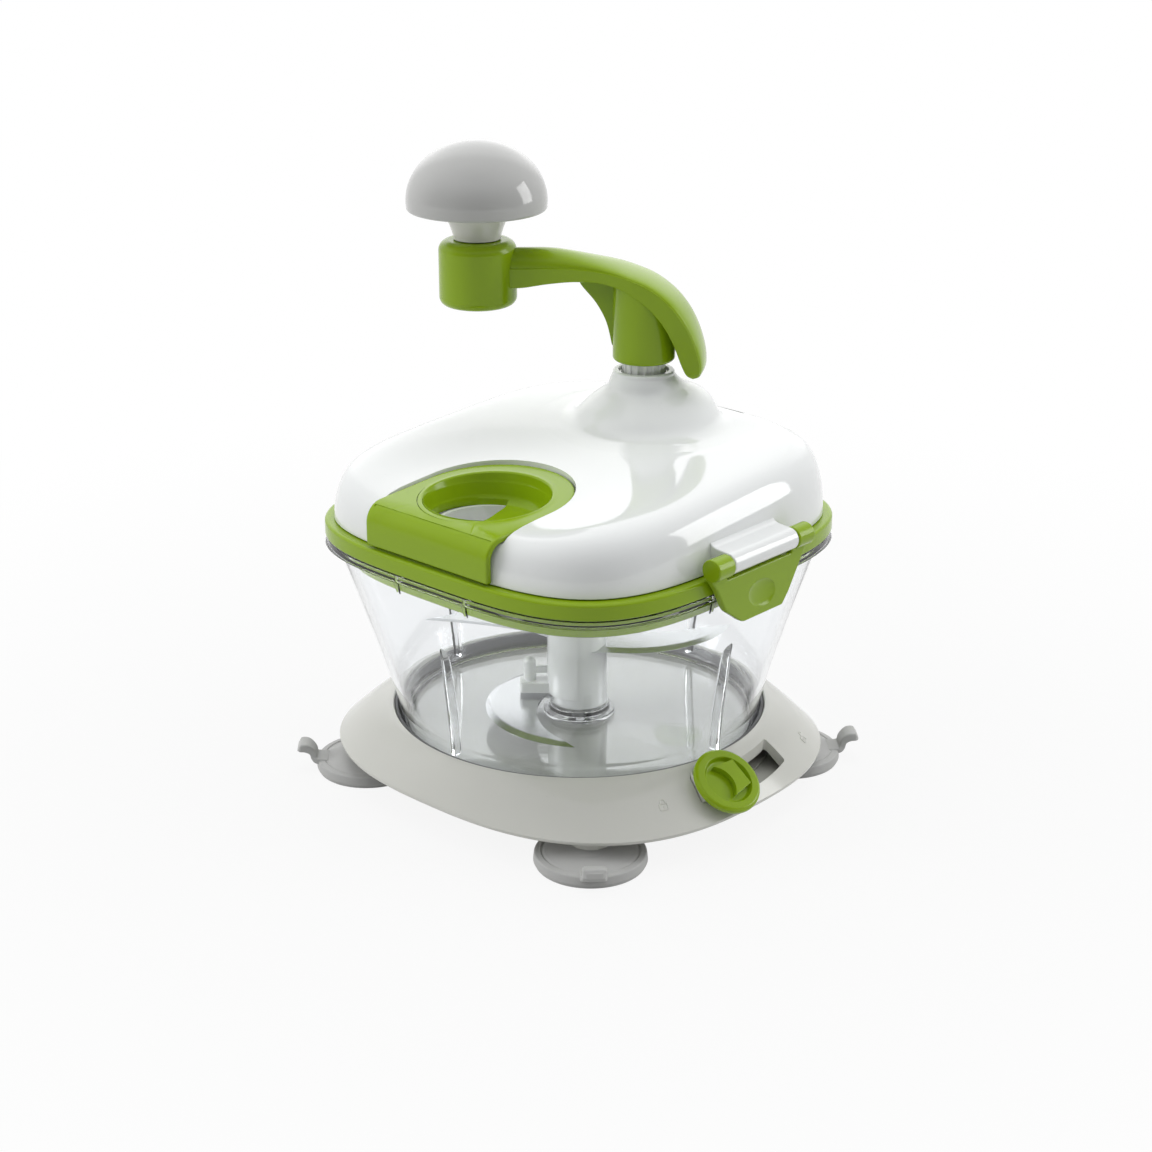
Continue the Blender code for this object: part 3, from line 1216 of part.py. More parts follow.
def make_latch(sign, name):
    axis = add_axis(name + "_axis", (sign * LATCH_X, 0, LATCH_Z))
    face = PLATE_HALF + 1.0 * MM
    low, high = sorted((sign * face, sign * (face + LATCH_T)))
    latch = add_part(name, slab_x(name, latch_outline(), low, high), GREEN)
    latch.parent = axis
    latch.matrix_parent_inverse = Matrix.Translation((-sign * LATCH_X, 0, -LATCH_Z))
    round_edges(latch, 0.8 * MM, 1, 50)
    middle = (EAR_OUT + BARREL_HALF + 0.4 * MM) / 2
    length = EAR_OUT - BARREL_HALF - 0.4 * MM
    for side in (-1, 1):
        ear = moved(rod("ear", EAR_R, -length / 2, length / 2, 16), Matrix.Rotation(math.pi / 2, 4, "X"))
        join(latch, add_cutter(f"{name}_ear_{side + 1}", ear, (sign * LATCH_X, side * middle, LATCH_Z)))
    hook_in = BOWL_FLANGE_HALF + 0.35 * MM
    hook_low, hook_high = sorted((sign * hook_in, sign * (face + 1 * MM)))
    hook = box("hook", (hook_low, -HOOK_HALF, BOWL_FLANGE_Z - 5 * MM), (hook_high, HOOK_HALF, BOWL_FLANGE_Z - 0.8 * MM))
    join(latch, add_cutter(f"{name}_hook", hook))
    bore = moved(rod("bore", LATCH_PIN_R + FIT, -LATCH_PIN_HALF - 0.5 * MM, LATCH_PIN_HALF + 0.5 * MM, 10), Matrix.Rotation(math.pi / 2, 4, "X"))
    cut(latch, add_cutter(f"{name}_bore", bore, (sign * LATCH_X, 0, LATCH_Z)))
    dimple = revolve("dimple", [(0, 2.2 * MM), (4 * MM, 1.8 * MM), (7 * MM, 0), (4 * MM, -1.8 * MM), (0, -2.2 * MM)], 12)
    dimple = moved(dimple, Matrix.Rotation(math.pi / 2, 4, "Y") @ Matrix.Diagonal((0.95, 1.3, 1, 1)))
    cut(latch, add_cutter(f"{name}_dimple", dimple, (sign * (face + LATCH_T + 0.6 * MM), 1 * MM, LATCH_BOTTOM_Z + 8.5 * MM)))
    pin = moved(rod("pin", LATCH_PIN_R, -LATCH_PIN_HALF, LATCH_PIN_HALF, 10), Matrix.Rotation(math.pi / 2, 4, "X"))
    add_part(name.replace("latch", "latch_pin"), pin, STEEL, at=(sign * LATCH_X, 0, LATCH_Z))
    return latch


# Gear train


def gear_low():
    return floor_top() + 1.4 * MM


def make_gears(crank, pinion_axis):
    low, high = gear_low(), gear_low() + GEAR_T
    drive = prism("drive_gear", gear_outline(DRIVE_TEETH, GEAR_BACKLASH), low, high)
    to_pinion = -math.pi / 2 - CRANK_REST
    gear = add_part("drive_gear", drive, OFF_WHITE, turn=(0, 0, to_pinion), parent=crank)
    web_r = MODULE * DRIVE_TEETH / 2 - 4.9 * MM
    web = revolve("gear_web", [
        (SPINDLE_R + 3 * MM, high + 1 * MM),
        (web_r, high + 1 * MM),
        (web_r, high - 1.8 * MM),
        (SPINDLE_R + 3 * MM, high - 1.8 * MM),
    ], 24)
    cut(gear, add_cutter("gear_web", web, (0, CRANK_Y, 0)))
    key = rod("gear_key", GEAR_KEY_R + FIT, low - 1 * MM, high + 1 * MM, 6)
    cut(gear, add_cutter("gear_key", key, (0, CRANK_Y, 0)))
    mesh = prism("drive_pinion", gear_outline(PINION_TEETH, GEAR_BACKLASH), low, high)
    half_pitch = math.pi / PINION_TEETH
    pinion = add_part("drive_pinion", mesh, OFF_WHITE, turn=(0, 0, math.pi / 2 + half_pitch), parent=pinion_axis)
    collar = revolve("pinion_shaft", [
        (0, high + 4.6 * MM),
        (3.4 * MM, high + 4.6 * MM),
        (3.4 * MM, high - 1 * MM),
        (DRIVE_HEX_R + 1.1 * MM, high - 1 * MM),
        (DRIVE_HEX_R + 1.1 * MM, HUB_TOP_Z + 0.8 * MM),
        (0, HUB_TOP_Z + 0.8 * MM),
    ], 24)
    tip = rod("pinion_hex", DRIVE_HEX_R, HUB_TOP_Z - DRIVE_DEPTH + 1.5 * MM, HUB_TOP_Z + 2 * MM, 6)
    join(pinion, add_cutter("pinion_shaft", collar), add_cutter("pinion_hex", tip))
    return gear


def make_bridge():
    """Bracket over the gears that steadies the pinion and the spindle."""
    low = gear_low() + GEAR_T + 1.0 * MM
    high = low + 2.4 * MM
    places = bridge_places()
    right = [(7 * MM, -7 * MM), (13 * MM, CRANK_Y), (6 * MM, places[2][1] + BRIDGE_POST_R)]
    spine = right + [(-x, y) for x, y in reversed(right)]
    bridge = add_part("gear_bridge", prism("gear_bridge", spine, low, high), OFF_WHITE)
    cross = box("bridge_cross", (places[0][0] - 5 * MM, BRIDGE_FOOT_Y - 5 * MM, low), (places[1][0] + 5 * MM, BRIDGE_FOOT_Y + 5 * MM, high))
    join(bridge, add_cutter("bridge_cross", cross))
    for k, (x, y) in enumerate(places):
        post = rod(f"bridge_post_{k}", BRIDGE_POST_R, floor_top() + REST, low + 1 * MM, 10)
        join(bridge, add_cutter(f"bridge_post_{k}", post, (x, y, 0)))
    for k, (x, y) in enumerate(places):
        pilot = rod(f"bridge_pilot_{k}", 1.7 * MM, floor_top() - 1 * MM, floor_top() + 7 * MM, 8)
        cut(bridge, add_cutter(f"bridge_pilot_{k}", pilot, (x, y, 0)))
    pinion_hole = rod("pinion_top_hole", 3.4 * MM + TURN, low - 1 * MM, high + 1 * MM, 20)
    spindle_hole = rod("spindle_hole", SPINDLE_R + SPLINE_H + 0.8 * MM, low - 1 * MM, high + 1 * MM, 28)
    cut(bridge, add_cutter("pinion_top_hole", pinion_hole), add_cutter("spindle_hole", spindle_hole, (0, CRANK_Y, 0)))


def make_lid_screws():
    head = PLATE_Z - REST
    for k, (x, y) in enumerate(cover_screw_places()):
        add_screw(f"cover_screw_{k + 1}", (x, y, head), 1.5 * MM, 3.2 * MM, 10 * MM)
    for k, (x, y) in enumerate(bridge_places()):
        add_screw(f"bridge_screw_{k + 1}", (x, y, head), 1.5 * MM, 3.2 * MM, 8 * MM)


# Crank


def make_spindle(crank):
    low = gear_low()
    shaft = prism("crank_spindle", spline_outline(SPINDLE_R, SPLINE_H, SPLINES), low + GEAR_T + 0.6 * MM, CRANK_HUB_Z + 15 * MM)
    spindle = add_part("crank_spindle", shaft, WHITE, parent=crank)
    key = rod("spindle_key", GEAR_KEY_R, low - 0.4 * MM, low + GEAR_T + 2 * MM, 6)
    turn = -math.pi / 2
    foot = rod("spindle_foot", SPINDLE_FOOT_R, PLATE_Z + 0.2 * MM, low + 1 * MM, 20)
    join(
        spindle,
        add_cutter("spindle_key", key, (0, CRANK_Y, 0)),
        add_cutter("spindle_foot", foot, (0, CRANK_Y, 0), (0, 0, turn)),
    )
    sleeve_high = NECK_TOP_Z - 1.0 * MM
    sleeve_low = sleeve_high - BUSH_LENGTH
    sleeve = revolve("spindle_bush", [
        (SPINDLE_R + SPLINE_H + TURN, sleeve_high),
        (SPINDLE_R + SPLINE_H + 1.3 * MM, sleeve_high),
        (SPINDLE_R + SPLINE_H + 1.3 * MM, sleeve_low),
        (SPINDLE_R + SPLINE_H + TURN, sleeve_low),
    ], 28)
    add_part("spindle_bush", sleeve, OFF_WHITE, at=(0, CRANK_Y, 0))


def crank_stations():
    """Stations along the arm, heights above its hub: lower edge, crease, half width, crown."""
    return [
        ((58.0, 29.1), (58.0, 37.1), 6.5, 7.4),
        ((50.0, 29.4), (50.0, 37.4), 7.0, 7.4),
        ((39.0, 31.7), (39.5, 38.3), 8.4, 6.7),
        ((28.0, 33.3), (29.6, 38.7), 9.6, 5.6),
        ((17.5, 33.5), (20.0, 38.5), 10.9, 4.3),
        ((9.0, 31.8), (11.6, 37.5), 12.5, 3.2),
        ((2.4, 28.5), (4.6, 35.7), 13.4, 2.4),
        ((-2.8, 24.7), (-3.2, 32.5), 13.5, 2.1),
        ((-7.6, 19.7), (-10.4, 27.3), 13.5, 2.1),
        ((-11.6, 13.7), (-16.2, 20.7), 13.3, 2.1),
        ((-14.4, 7.3), (-20.4, 13.3), 12.2, 2.0),
        ((-16.6, 1.1), (-23.2, 5.1), 11.2, 1.8),
        ((-18.6, -3.7), (-24.2, -1.5), 9.4, 1.4),
        ((-21.0, -5.7), (-23.4, -4.9), 7.2, 0.8),
    ]


def arm_ring(low, crease, half, crown):
    """Section of the arm: side walls up to the crease, then a rounded crown."""
    foot = Vector((0, CRANK_HUB_Z))
    low, crease = foot + Vector(low) * MM, foot + Vector(crease) * MM
    up = (crease - low).normalized()
    half, crown = half * MM, crown * MM
    ring = [(low.x, -half, low.y), (crease.x, -half, crease.y)]
    for k in range(9):
        angle = math.pi * (k / 8)
        y = -(half - 0.5 * MM) * math.cos(angle)
        lift = up * (0.3 * MM + crown * math.sin(angle))
        ring.append((crease.x + lift.x, y, crease.y + lift.y))
    ring += [(crease.x, half, crease.y), (low.x, half, low.y)]
    return ring


def make_crank_arm(crank):
    mesh = loft("crank_arm", [arm_ring(*station) for station in crank_stations()])
    arm = add_part("crank_arm", mesh, GREEN, parent=crank)
    place = ((0, CRANK_Y, 0), (0, 0, CRANK_REST))
    foot = Vector((0, CRANK_HUB_Z))
    under = []
    for low, crease, half, crown in crank_stations()[4:13]:
        low_v, crease_v = foot + Vector(low) * MM, foot + Vector(crease) * MM
        up = (crease_v - low_v).normalized()
        start, top = low_v - 4 * MM * up, crease_v - 0.6 * MM * up
        wall = half * MM - ARM_WALL
        under.append([(ARM_CHANNEL * p.x, y, p.y) for p, y in ((start, -wall), (top, -wall), (top, wall), (start, wall))])
    channel = add_cutter("arm_channel", loft("arm_channel", under), *place)
    hub = loft("crank_hub", [
        level(oval(CRANK_HUB_R - 1.4 * MM, CRANK_HUB_R - 1.4 * MM, count=HUB_SIDES), CRANK_HUB_Z),
        level(oval(CRANK_HUB_R, CRANK_HUB_R, count=HUB_SIDES), CRANK_HUB_Z + 1.4 * MM),
        [(x, y, CRANK_HUB_Z + 28.3 * MM + 0.6 * x) for x, y in oval(CRANK_HUB_R, CRANK_HUB_R, count=HUB_SIDES)],
    ])
    knob_hub = revolve("knob_hub", [
        (AXLE_R + TURN, KNOB_HUB_TOP_Z),
        (KNOB_HUB_R - 4.6 * MM, KNOB_HUB_TOP_Z),
        (KNOB_HUB_R - 1.4 * MM, KNOB_HUB_TOP_Z - 1.3 * MM),
        (KNOB_HUB_R, KNOB_HUB_TOP_Z - 4.4 * MM),
        (KNOB_HUB_R, KNOB_HUB_Z + 3.4 * MM),
        (KNOB_HUB_R - 1.2 * MM, KNOB_HUB_Z + 1.0 * MM),
        (KNOB_HUB_R - 4.0 * MM, KNOB_HUB_Z),
        (6.2 * MM, KNOB_HUB_Z),
        (6.2 * MM, KNOB_HUB_Z + 3.2 * MM),
        (AXLE_R + TURN, KNOB_HUB_Z + 3.2 * MM),
    ], 28)
    knob_hub = moved(knob_hub, Matrix.Translation((CRANK_R, 0, 0)))
    inside = CRANK_HUB_R / MM - 1
    fin = [(inside, 35.0), (28.0, 35.0), (26.0, 30.5), (20.0, 23.5), (15.6, 15.5), (13.2, 6.0), (inside, 4.5)]
    web = prism("crank_web", [(s * MM, CRANK_HUB_Z + z * MM) for s, z in fin], -ARM_WEB_T / 2, ARM_WEB_T / 2)
    web = moved(web, Matrix(((1, 0, 0, 0), (0, 0, -1, 0), (0, 1, 0, 0), (0, 0, 0, 1))))
    solids = [
        add_cutter("crank_hub", hub, *place),
        add_cutter("knob_hub", knob_hub, *place),
        add_cutter("crank_web", web, *place),
    ]
    cut(channel, solids[0], solids[2])
    join(arm, *solids)
    cut(arm, channel)
    bore = prism("crank_bore", spline_outline(SPINDLE_R + 0.15 * MM, SPLINE_H, SPLINES), CRANK_HUB_Z - 1 * MM, CRANK_HUB_Z + 15.6 * MM)
    cut(arm, add_cutter("crank_bore", bore, *place))
    return arm


# Knob


def make_knob(knob):
    dome_low = DOME_Z
    profile = [(0, DOME_TOP_Z)]
    middle = DOME_Z + 3.5 * MM
    for k in range(1, 7):
        angle = math.pi / 2 * (1 - k / 6)
        profile.append((DOME_R * math.cos(angle), middle + (DOME_TOP_Z - middle) * math.sin(angle)))
    profile += [
        (DOME_R - 0.3 * MM, dome_low + 1.2 * MM),
        (DOME_R - 1.2 * MM, dome_low),
        (8.6 * MM, dome_low),
        (8.6 * MM, dome_low + 9 * MM),
        (AXLE_R + 0.15 * MM, dome_low + 9 * MM),
        (AXLE_R + 0.15 * MM, dome_low + 17 * MM),
        (0, dome_low + 17 * MM),
    ]
    add_part("knob_dome", revolve("knob_dome", profile, 28), KNOB_WHITE, parent=knob)
    low = KNOB_HUB_TOP_Z + REST
    neck = [
        (AXLE_R + 0.15 * MM, dome_low + 8.4 * MM),
        (8.3 * MM, dome_low + 8.4 * MM),
        (8.3 * MM, dome_low - REST),
        (NECK_HIGH_R, dome_low - REST),
        (13.3 * MM, dome_low - 2.6 * MM),
        (11.4 * MM, dome_low - 6 * MM),
        (10.2 * MM, dome_low - 9.4 * MM),
        (NECK_LOW_R, low),
        (AXLE_R + 0.15 * MM, low),
    ]
    add_part("knob_neck", revolve("knob_neck", neck, 24), OFF_WHITE, parent=knob)
    axle = [
        (0, dome_low + 16.4 * MM),
        (AXLE_R, dome_low + 16.4 * MM),
        (AXLE_R, KNOB_HUB_Z + 2.9 * MM),
        (5.6 * MM, KNOB_HUB_Z + 2.9 * MM),
        (5.6 * MM, KNOB_HUB_Z + 1.2 * MM),
        (4.6 * MM, KNOB_HUB_Z + 0.5 * MM),
        (0, KNOB_HUB_Z + 0.5 * MM),
    ]
    add_part("knob_axle", revolve("knob_axle", axle, 16), STEEL, parent=knob)


def build():
    make_base_shell()
    make_base_plate()
    make_seat_ring()
    make_suction_cups()
    make_lever()
    make_plungers()
    make_bowl()
    blade_axis = add_axis("blade_axis", (0, 0, 0))
    make_blades(blade_axis)
    make_lid_plate()
    make_lid_seal()
    make_lid_cover()
    make_feed_cap()
    make_latch(1, "latch_right")
    make_latch(-1, "latch_left")
    crank = add_axis("crank_axis", (0, CRANK_Y, 0), (0, 0, CRANK_REST))
    pinion = add_axis("pinion_axis", (0, 0, 0))
    make_gears(crank, pinion)
    make_bridge()
    make_lid_screws()
    make_spindle(crank)
    make_crank_arm(crank)
    knob = add_axis("knob_axis", (CRANK_R, 0, 0))
    knob.parent = crank
    make_knob(knob)
    tidy_parts()


clear_scene()
PARTS, CUTTERS = make_collections()
build()
bpy.context.view_layer.update()
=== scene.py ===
"""Looks of a hand-cranked food chopper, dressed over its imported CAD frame.

The bowl stands on Z, the feed cap faces -Y and the latches face +X and -X.
"""

import json
import math

import bmesh
import bpy
from mathutils import Matrix, Vector


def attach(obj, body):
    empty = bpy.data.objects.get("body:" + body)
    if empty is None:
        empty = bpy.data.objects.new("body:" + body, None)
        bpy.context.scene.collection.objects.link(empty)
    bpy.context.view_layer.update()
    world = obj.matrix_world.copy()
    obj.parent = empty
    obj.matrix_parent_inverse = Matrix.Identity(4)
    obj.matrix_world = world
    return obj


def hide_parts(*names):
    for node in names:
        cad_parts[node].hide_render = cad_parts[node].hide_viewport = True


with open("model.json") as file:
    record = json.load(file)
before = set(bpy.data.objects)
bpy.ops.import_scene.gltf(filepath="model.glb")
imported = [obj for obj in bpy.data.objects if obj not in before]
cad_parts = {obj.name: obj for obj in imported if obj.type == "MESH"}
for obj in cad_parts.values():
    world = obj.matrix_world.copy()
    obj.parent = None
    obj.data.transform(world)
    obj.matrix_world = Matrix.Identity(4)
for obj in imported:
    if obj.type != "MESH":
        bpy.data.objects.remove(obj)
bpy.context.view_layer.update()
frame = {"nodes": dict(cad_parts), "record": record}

MM = 0.001
RING = 144
TURNS = 96
QUARTERS = [math.pi / 2 * k for k in range(4)]
CORNERS = [(sx, sy) for sx in (-1, 1) for sy in (-1, 1)]

# Base
BASE_HALF = (97.3, 90.4)
BASE_POWER = 2.6
BASE_EDGE_Z = 13.0
BASE_LIP_Z = 14.5
BASE_RIM_Z = 31.0
BASE_FLOOR_Z = 22.2
BASE_WALL = 2.5
OPENING_R = 77.9
FLANK_R = OPENING_R + 0.5
FLANK = ((0, 0), (0.27, 0.34), (0.58, 0.69), (0.86, 0.93), (1.0, 1.0))
CUP_AT = 63.0
CUP_R = 22.4
SLOT_R = 88.6
SLOT_W = 9.4
SLOT_ENDS = (math.radians(-17), math.radians(16))
LEVER_ANGLE = math.radians(-9)
LEVER_KNOB_AT = (91.6, 0.0, 25.2)
LEVER_KNOB_TILT = math.radians(37)
STROKE_R = 0.3
STROKE_SINK = 0.05

# Screws
BASE_SCREWS = [(52.0 * math.cos(a), 52.0 * math.sin(a)) for a in QUARTERS]
BASE_SCREW_Z = 12.9
COVER_SCREWS = [(sx * 62.0, sy * 60.0) for sx, sy in CORNERS]
BRIDGE_SCREWS = [(-31.0, 8.0), (31.0, 8.0), (0.0, 73.5)]
LID_SCREW_Z = 108.0

# Bowl
FOOT_R = 76.0
FOOT_TOP_Z = 33.0
BOWL_HALF = 86.0
BOWL_POWER = 3.6
BOWL_FLARE = 1.1
BOWL_WALL = 2.4
BOWL_LOW_Z = 22.5
BOWL_FLOOR_Z = 25.3
BOSS_TOP_Z = BOWL_FLOOR_Z + 4.4
PIN_FOOT_Z = 24.0
FLANGE_Z = 103.4
BOWL_TOP_Z = 106.4
FLANGE_HALF = 88.4
WEB_X = 18.5

# Blades
HUB_LOW = (11.9, 30.2)
HUB_HIGH = (10.6, 104.5)
PIN_TOP_Z = 78.5
HEX_R = 5.5
HEX_LOW_Z = 92.5
BLADE_T = 1.2
CARRIER_Z = (35.0, 92.0)
CARRIER_FACING = 42.2
PEG_X = -20.4

# Lid
PLATE_Z = 108.3
PLATE_HALF = 89.2
PLATE_POWER = 3.55
PLATE_TOP_Z = 113.5
SKIRT_INSET = BOWL_WALL + 1.0
SKIRT_WALL = 2.2
COVER_Z = 113.8
COVER_HALF = 85.3
COVER_POWER = 3.68
COVER_WALL = 2.5
COVER_RISE = 26.6
COVER_SLOPE = 0.06
COVER_DOME = 1.5
SHOULDER_OUT = 20
SHOULDER_UP = 1.7
NECK_TOP_Z = 165.4
CRANK_Y = 39.6

# Feed cap
CAP_HALF = 33.0
CAP_BACK_Y = -18.8
CAP_MIDDLE_Y = CAP_BACK_Y - CAP_HALF
CAP_FRONT_Y = -87.6
CAP_T = 2.4
CAP_Z = 133.5
CAP_Z_AT = -54.0
CAP_SLOPE = 0.07
CAP_ROLL = 8.2
CAP_BEND_Y = CAP_FRONT_Y + CAP_ROLL
CAP_BEND = math.radians(86)
FLAP_Z = 114.6
CAP_GAP = 0.5
CAP_SINK = (0.8, 1.6)
LID_DIP = 34.0
DISH_Y = -53.4
DISH_HALF = (26.0, 25.4)
DISH_FLOOR_HALF = 23.2
DISH_FLOOR_Z = 122.4
CHUTE_Y = -52.5
CHUTE_HALF = (20.5, 21.0)
CHUTE_WALL = 1.8

# Latches
LATCH_X = 92.0
LATCH_Z = 121.0
BARREL_AT = (92.6, 119.2)
BARREL_R = 4.4
BARREL_HALF = 19.6
EAR_AT = (92.8, 119.0)
EAR_R = 4.5
EAR_OUT = 29.5
LATCH_FACE_X = 90.2
LATCH_T = 3.2
HOOK_GAP = 0.35

# Crank and knob
SPINDLE_R = 8.5
SPINDLE_Z = 118.6
CRANK_HUB_R = 12.9
CRANK_HUB_Z = 169.5
CRANK_R = 69.3
CRANK_REST = math.radians(213)
KNOB_HUB_R = 16.1
KNOB_HUB_Z = (190.0, 217.2)
KNOB_AT = (CRANK_R * math.cos(CRANK_REST), CRANK_Y + CRANK_R * math.sin(CRANK_REST))
KNOB_BORE = 3.15
NECK_FOOT_R = 9.9
DOME_R = 29.0
DOME_Z = (229.5, 257.5)

# Studio
LAMP_TARGET = (0, 0, 0.12)
LAMPS = (
    ("top softbox", (-0.1, 0.3, 2.2), (1.6, 1.3), 12, False),
    ("left softbox", (-1.25, -1.15, 0.7), (0.8, 1.0), 13, False),
    ("right softbox", (1.2, 1.25, 0.7), (0.7, 1.0), 10, True),
)
SWEEP_WAY = (-0.67, 0.74, 0.05)
PANEL_WAY = (-0.57, 0.63, 0.53)
PANEL_GLOW = 0.6  # how much brighter than white the panel behind the object mirrors
FLOOR_GLOW = 0.89
CAMERA_AT = (0.5623, -0.6213, 0.4084)
CAMERA_TURN = (math.radians(90 - 21.11), 0, math.radians(42.24))
CAMERA_LENS = 2170 / 1152 * 36


# Outlines


def oval(half_x, half_y, centre=(0, 0), count=RING):
    steps = [2 * math.pi * k / count for k in range(count)]
    return [(centre[0] + half_x * math.cos(a), centre[1] + half_y * math.sin(a)) for a in steps]


def squircle_reach(half, power, angle):
    """Distance from the centre to a rounded square's edge."""
    x, y = abs(math.cos(angle)) / half[0], abs(math.sin(angle)) / half[1]
    return (x**power + y**power) ** (-1 / power)


def squircle(half_x, half_y, power, count=RING):
    points = []
    for k in range(count):
        angle = 2 * math.pi * k / count
        reach = squircle_reach((half_x, half_y), power, angle)
        points.append((reach * math.cos(angle), reach * math.sin(angle)))
    return points


def square(half, power):
    return squircle(half, half, power)


def blend(first, second, share):
    return [tuple(a + share * (b - a) for a, b in zip(p, q)) for p, q in zip(first, second)]


def level(outline, z):
    return [(x, y, z) for x, y in outline]


def ring(radius, z, centre=(0, 0), count=RING):
    """Level circle of points."""
    return level(oval(radius, radius, centre, count), z)


def arc(centre, radius, start, end, count):
    """Points on an arc, angles in degrees."""
    steps = [math.radians(start + (end - start) * k / count) for k in range(count + 1)]
    return [(centre[0] + radius * math.cos(a), centre[1] + radius * math.sin(a)) for a in steps]


def through(rows, count):
    """Rows of numbers on a smooth curve through the given rows."""
    made = []
    last = len(rows) - 1
    for k in range(count + 1):
        at = last * k / count
        first = min(int(at), last - 1)
        t = at - first
        four = [rows[max(0, min(last, first + step))] for step in (-1, 0, 1, 2)]
        made.append(tuple(
            0.5 * (2 * b + (c - a) * t + (2 * a - 5 * b + 4 * c - d) * t**2 + (3 * b - a - 3 * c + d) * t**3)
            for a, b, c, d in zip(*four)
        ))
    return made


def rounded(corners, closed=True):
    """Outline whose corners (x, y, radius) become arcs."""
    points = []
    count = len(corners)
    for k, (x, y, radius) in enumerate(corners):
        if radius <= 0 or (not closed and k in (0, count - 1)):
            points.append((x, y))
            continue
        here = Vector((x, y))
        before = Vector(corners[k - 1][:2]) - here
        after = Vector(corners[(k + 1) % count][:2]) - here
        a, b = before.normalized(), after.normalized()
        inner = a.angle(b)
        reach = min(radius / math.tan(inner / 2), 0.49 * min(before.length, after.length))
        middle = here + (a + b).normalized() * (reach / math.cos(inner / 2))
        start, end = here + a * reach - middle, here + b * reach - middle
        turn = math.copysign(math.pi - inner, start.x * end.y - start.y * end.x)
        steps = max(2, round(math.degrees(math.pi - inner) / 12))
        for n in range(steps + 1):
            angle = turn * n / steps
            points.append((
                middle.x + start.x * math.cos(angle) - start.y * math.sin(angle),
                middle.y + start.x * math.sin(angle) + start.y * math.cos(angle),
            ))
    return points


def chain(corners):
    """Open line whose inner corners become arcs."""
    return rounded(corners, closed=False)


# Solids


def put(name, data):
    """New object in the scene."""
    made = bpy.data.objects.new(name, data)
    bpy.context.scene.collection.objects.link(made)
    return made


def shape(build):
    bmesh.ops.recalc_face_normals(build, faces=build.faces)
    mesh = bpy.data.meshes.new("shape")
    build.to_mesh(mesh)
    build.free()
    return put("shape", mesh)


def loft(rings, ends=True, closed=False):
    """Skin through rings of like point counts; a ring of one point is a pole."""
    build = bmesh.new()
    rows = [[build.verts.new(p) for p in points] for points in rings]
    pairs = list(zip(rows, rows[1:]))
    if closed:
        pairs.append((rows[-1], rows[0]))
    for low, high in pairs:
        count = max(len(low), len(high))
        for k in range(count):
            n = (k + 1) % count
            corners = [low[k % len(low)], low[n % len(low)], high[n % len(high)], high[k % len(high)]]
            corners = list(dict.fromkeys(corners))
            if len(corners) > 2:
                build.faces.new(corners)
    if ends and not closed:
        for row in (rows[0], rows[-1]):
            if len(row) > 2:
                build.faces.new(row)
    return shape(build)


def lathe(profile, steps=TURNS):
    """Profile of (radius, height) turned about Z, open at the axis or closed on itself."""
    rings = [[(0, 0, z)] if r < 1e-6 else ring(r, z, count=steps) for r, z in profile]
    return loft(rings, ends=False, closed=profile[0][0] > 1e-6)


def prism(outline, low, high):
    return loft([level(outline, low), level(outline, high)])


def rod(radius, low, high, at=(0, 0), steps=48):
    return prism(oval(radius, radius, at, steps), low, high)


def block(low, high):
    corners = [(low[0], low[1]), (high[0], low[1]), (high[0], high[1]), (low[0], high[1])]
    return prism(corners, low[2], high[2])


def moved(made, matrix):
    made.data.transform(matrix)
    return made


def shifted(made, x, y=0, z=0):
    return moved(made, Matrix.Translation((x, y, z)))


def turned(made, degrees, axis="Z"):
    return moved(made, Matrix.Rotation(math.radians(degrees), 4, axis))


# Turns an outline in YZ, raised along Z, into a slab along X
SIDEWAYS = Matrix(((0, 0, 1, 0), (1, 0, 0, 0), (0, 1, 0, 0), (0, 0, 0, 1)))
# Turns an outline in XZ, raised along Z, into a slab along Y
ENDWAYS = Matrix(((1, 0, 0, 0), (0, 0, -1, 0), (0, 1, 0, 0), (0, 0, 0, 1)))


def across_x(outline_yz, low, high):
    return moved(prism(outline_yz, low, high), SIDEWAYS)


def across_y(outline_xz, low, high):
    return moved(prism(outline_xz, -high, -low), ENDWAYS)


def worked_out(made):
    """Mesh of an object with its modifiers or its curve worked out."""
    graph = bpy.context.evaluated_depsgraph_get()
    return bpy.data.meshes.new_from_object(made.evaluated_get(graph))


def settle(made):
    """Puts an object's modifiers into its mesh."""
    mesh = worked_out(made)
    made.modifiers.clear()
    made.data = mesh
    return made


def merge(made, tools, operation):
    for tool in tools:
        step = made.modifiers.new("shaping", "BOOLEAN")
        step.operation = operation
        step.solver = "MANIFOLD"
        step.object = tool
    settle(made)
    for tool in tools:
        bpy.data.objects.remove(tool, do_unlink=True)
    return made


def cut(made, *tools):
    return merge(made, tools, "DIFFERENCE")


def join(made, *tools):
    return merge(made, tools, "UNION")


def keep_inside(made, *tools):
    return merge(made, tools, "INTERSECT")


def soften(made, width, segments=3, angle=40):
    """Rounds the hard edges."""
    step = made.modifiers.new("rounded", "BEVEL")
    step.width = width
    step.segments = segments
    step.limit_method = "ANGLE"
    step.angle_limit = math.radians(angle)
    return settle(made)


def together(first, *others):
    """One object out of several that only touch or overlap."""
    build = bmesh.new()
    for made in (first, *others):
        build.from_mesh(made.data)
    build.to_mesh(first.data)
    build.free()
    for made in others:
        bpy.data.objects.remove(made, do_unlink=True)
    return first


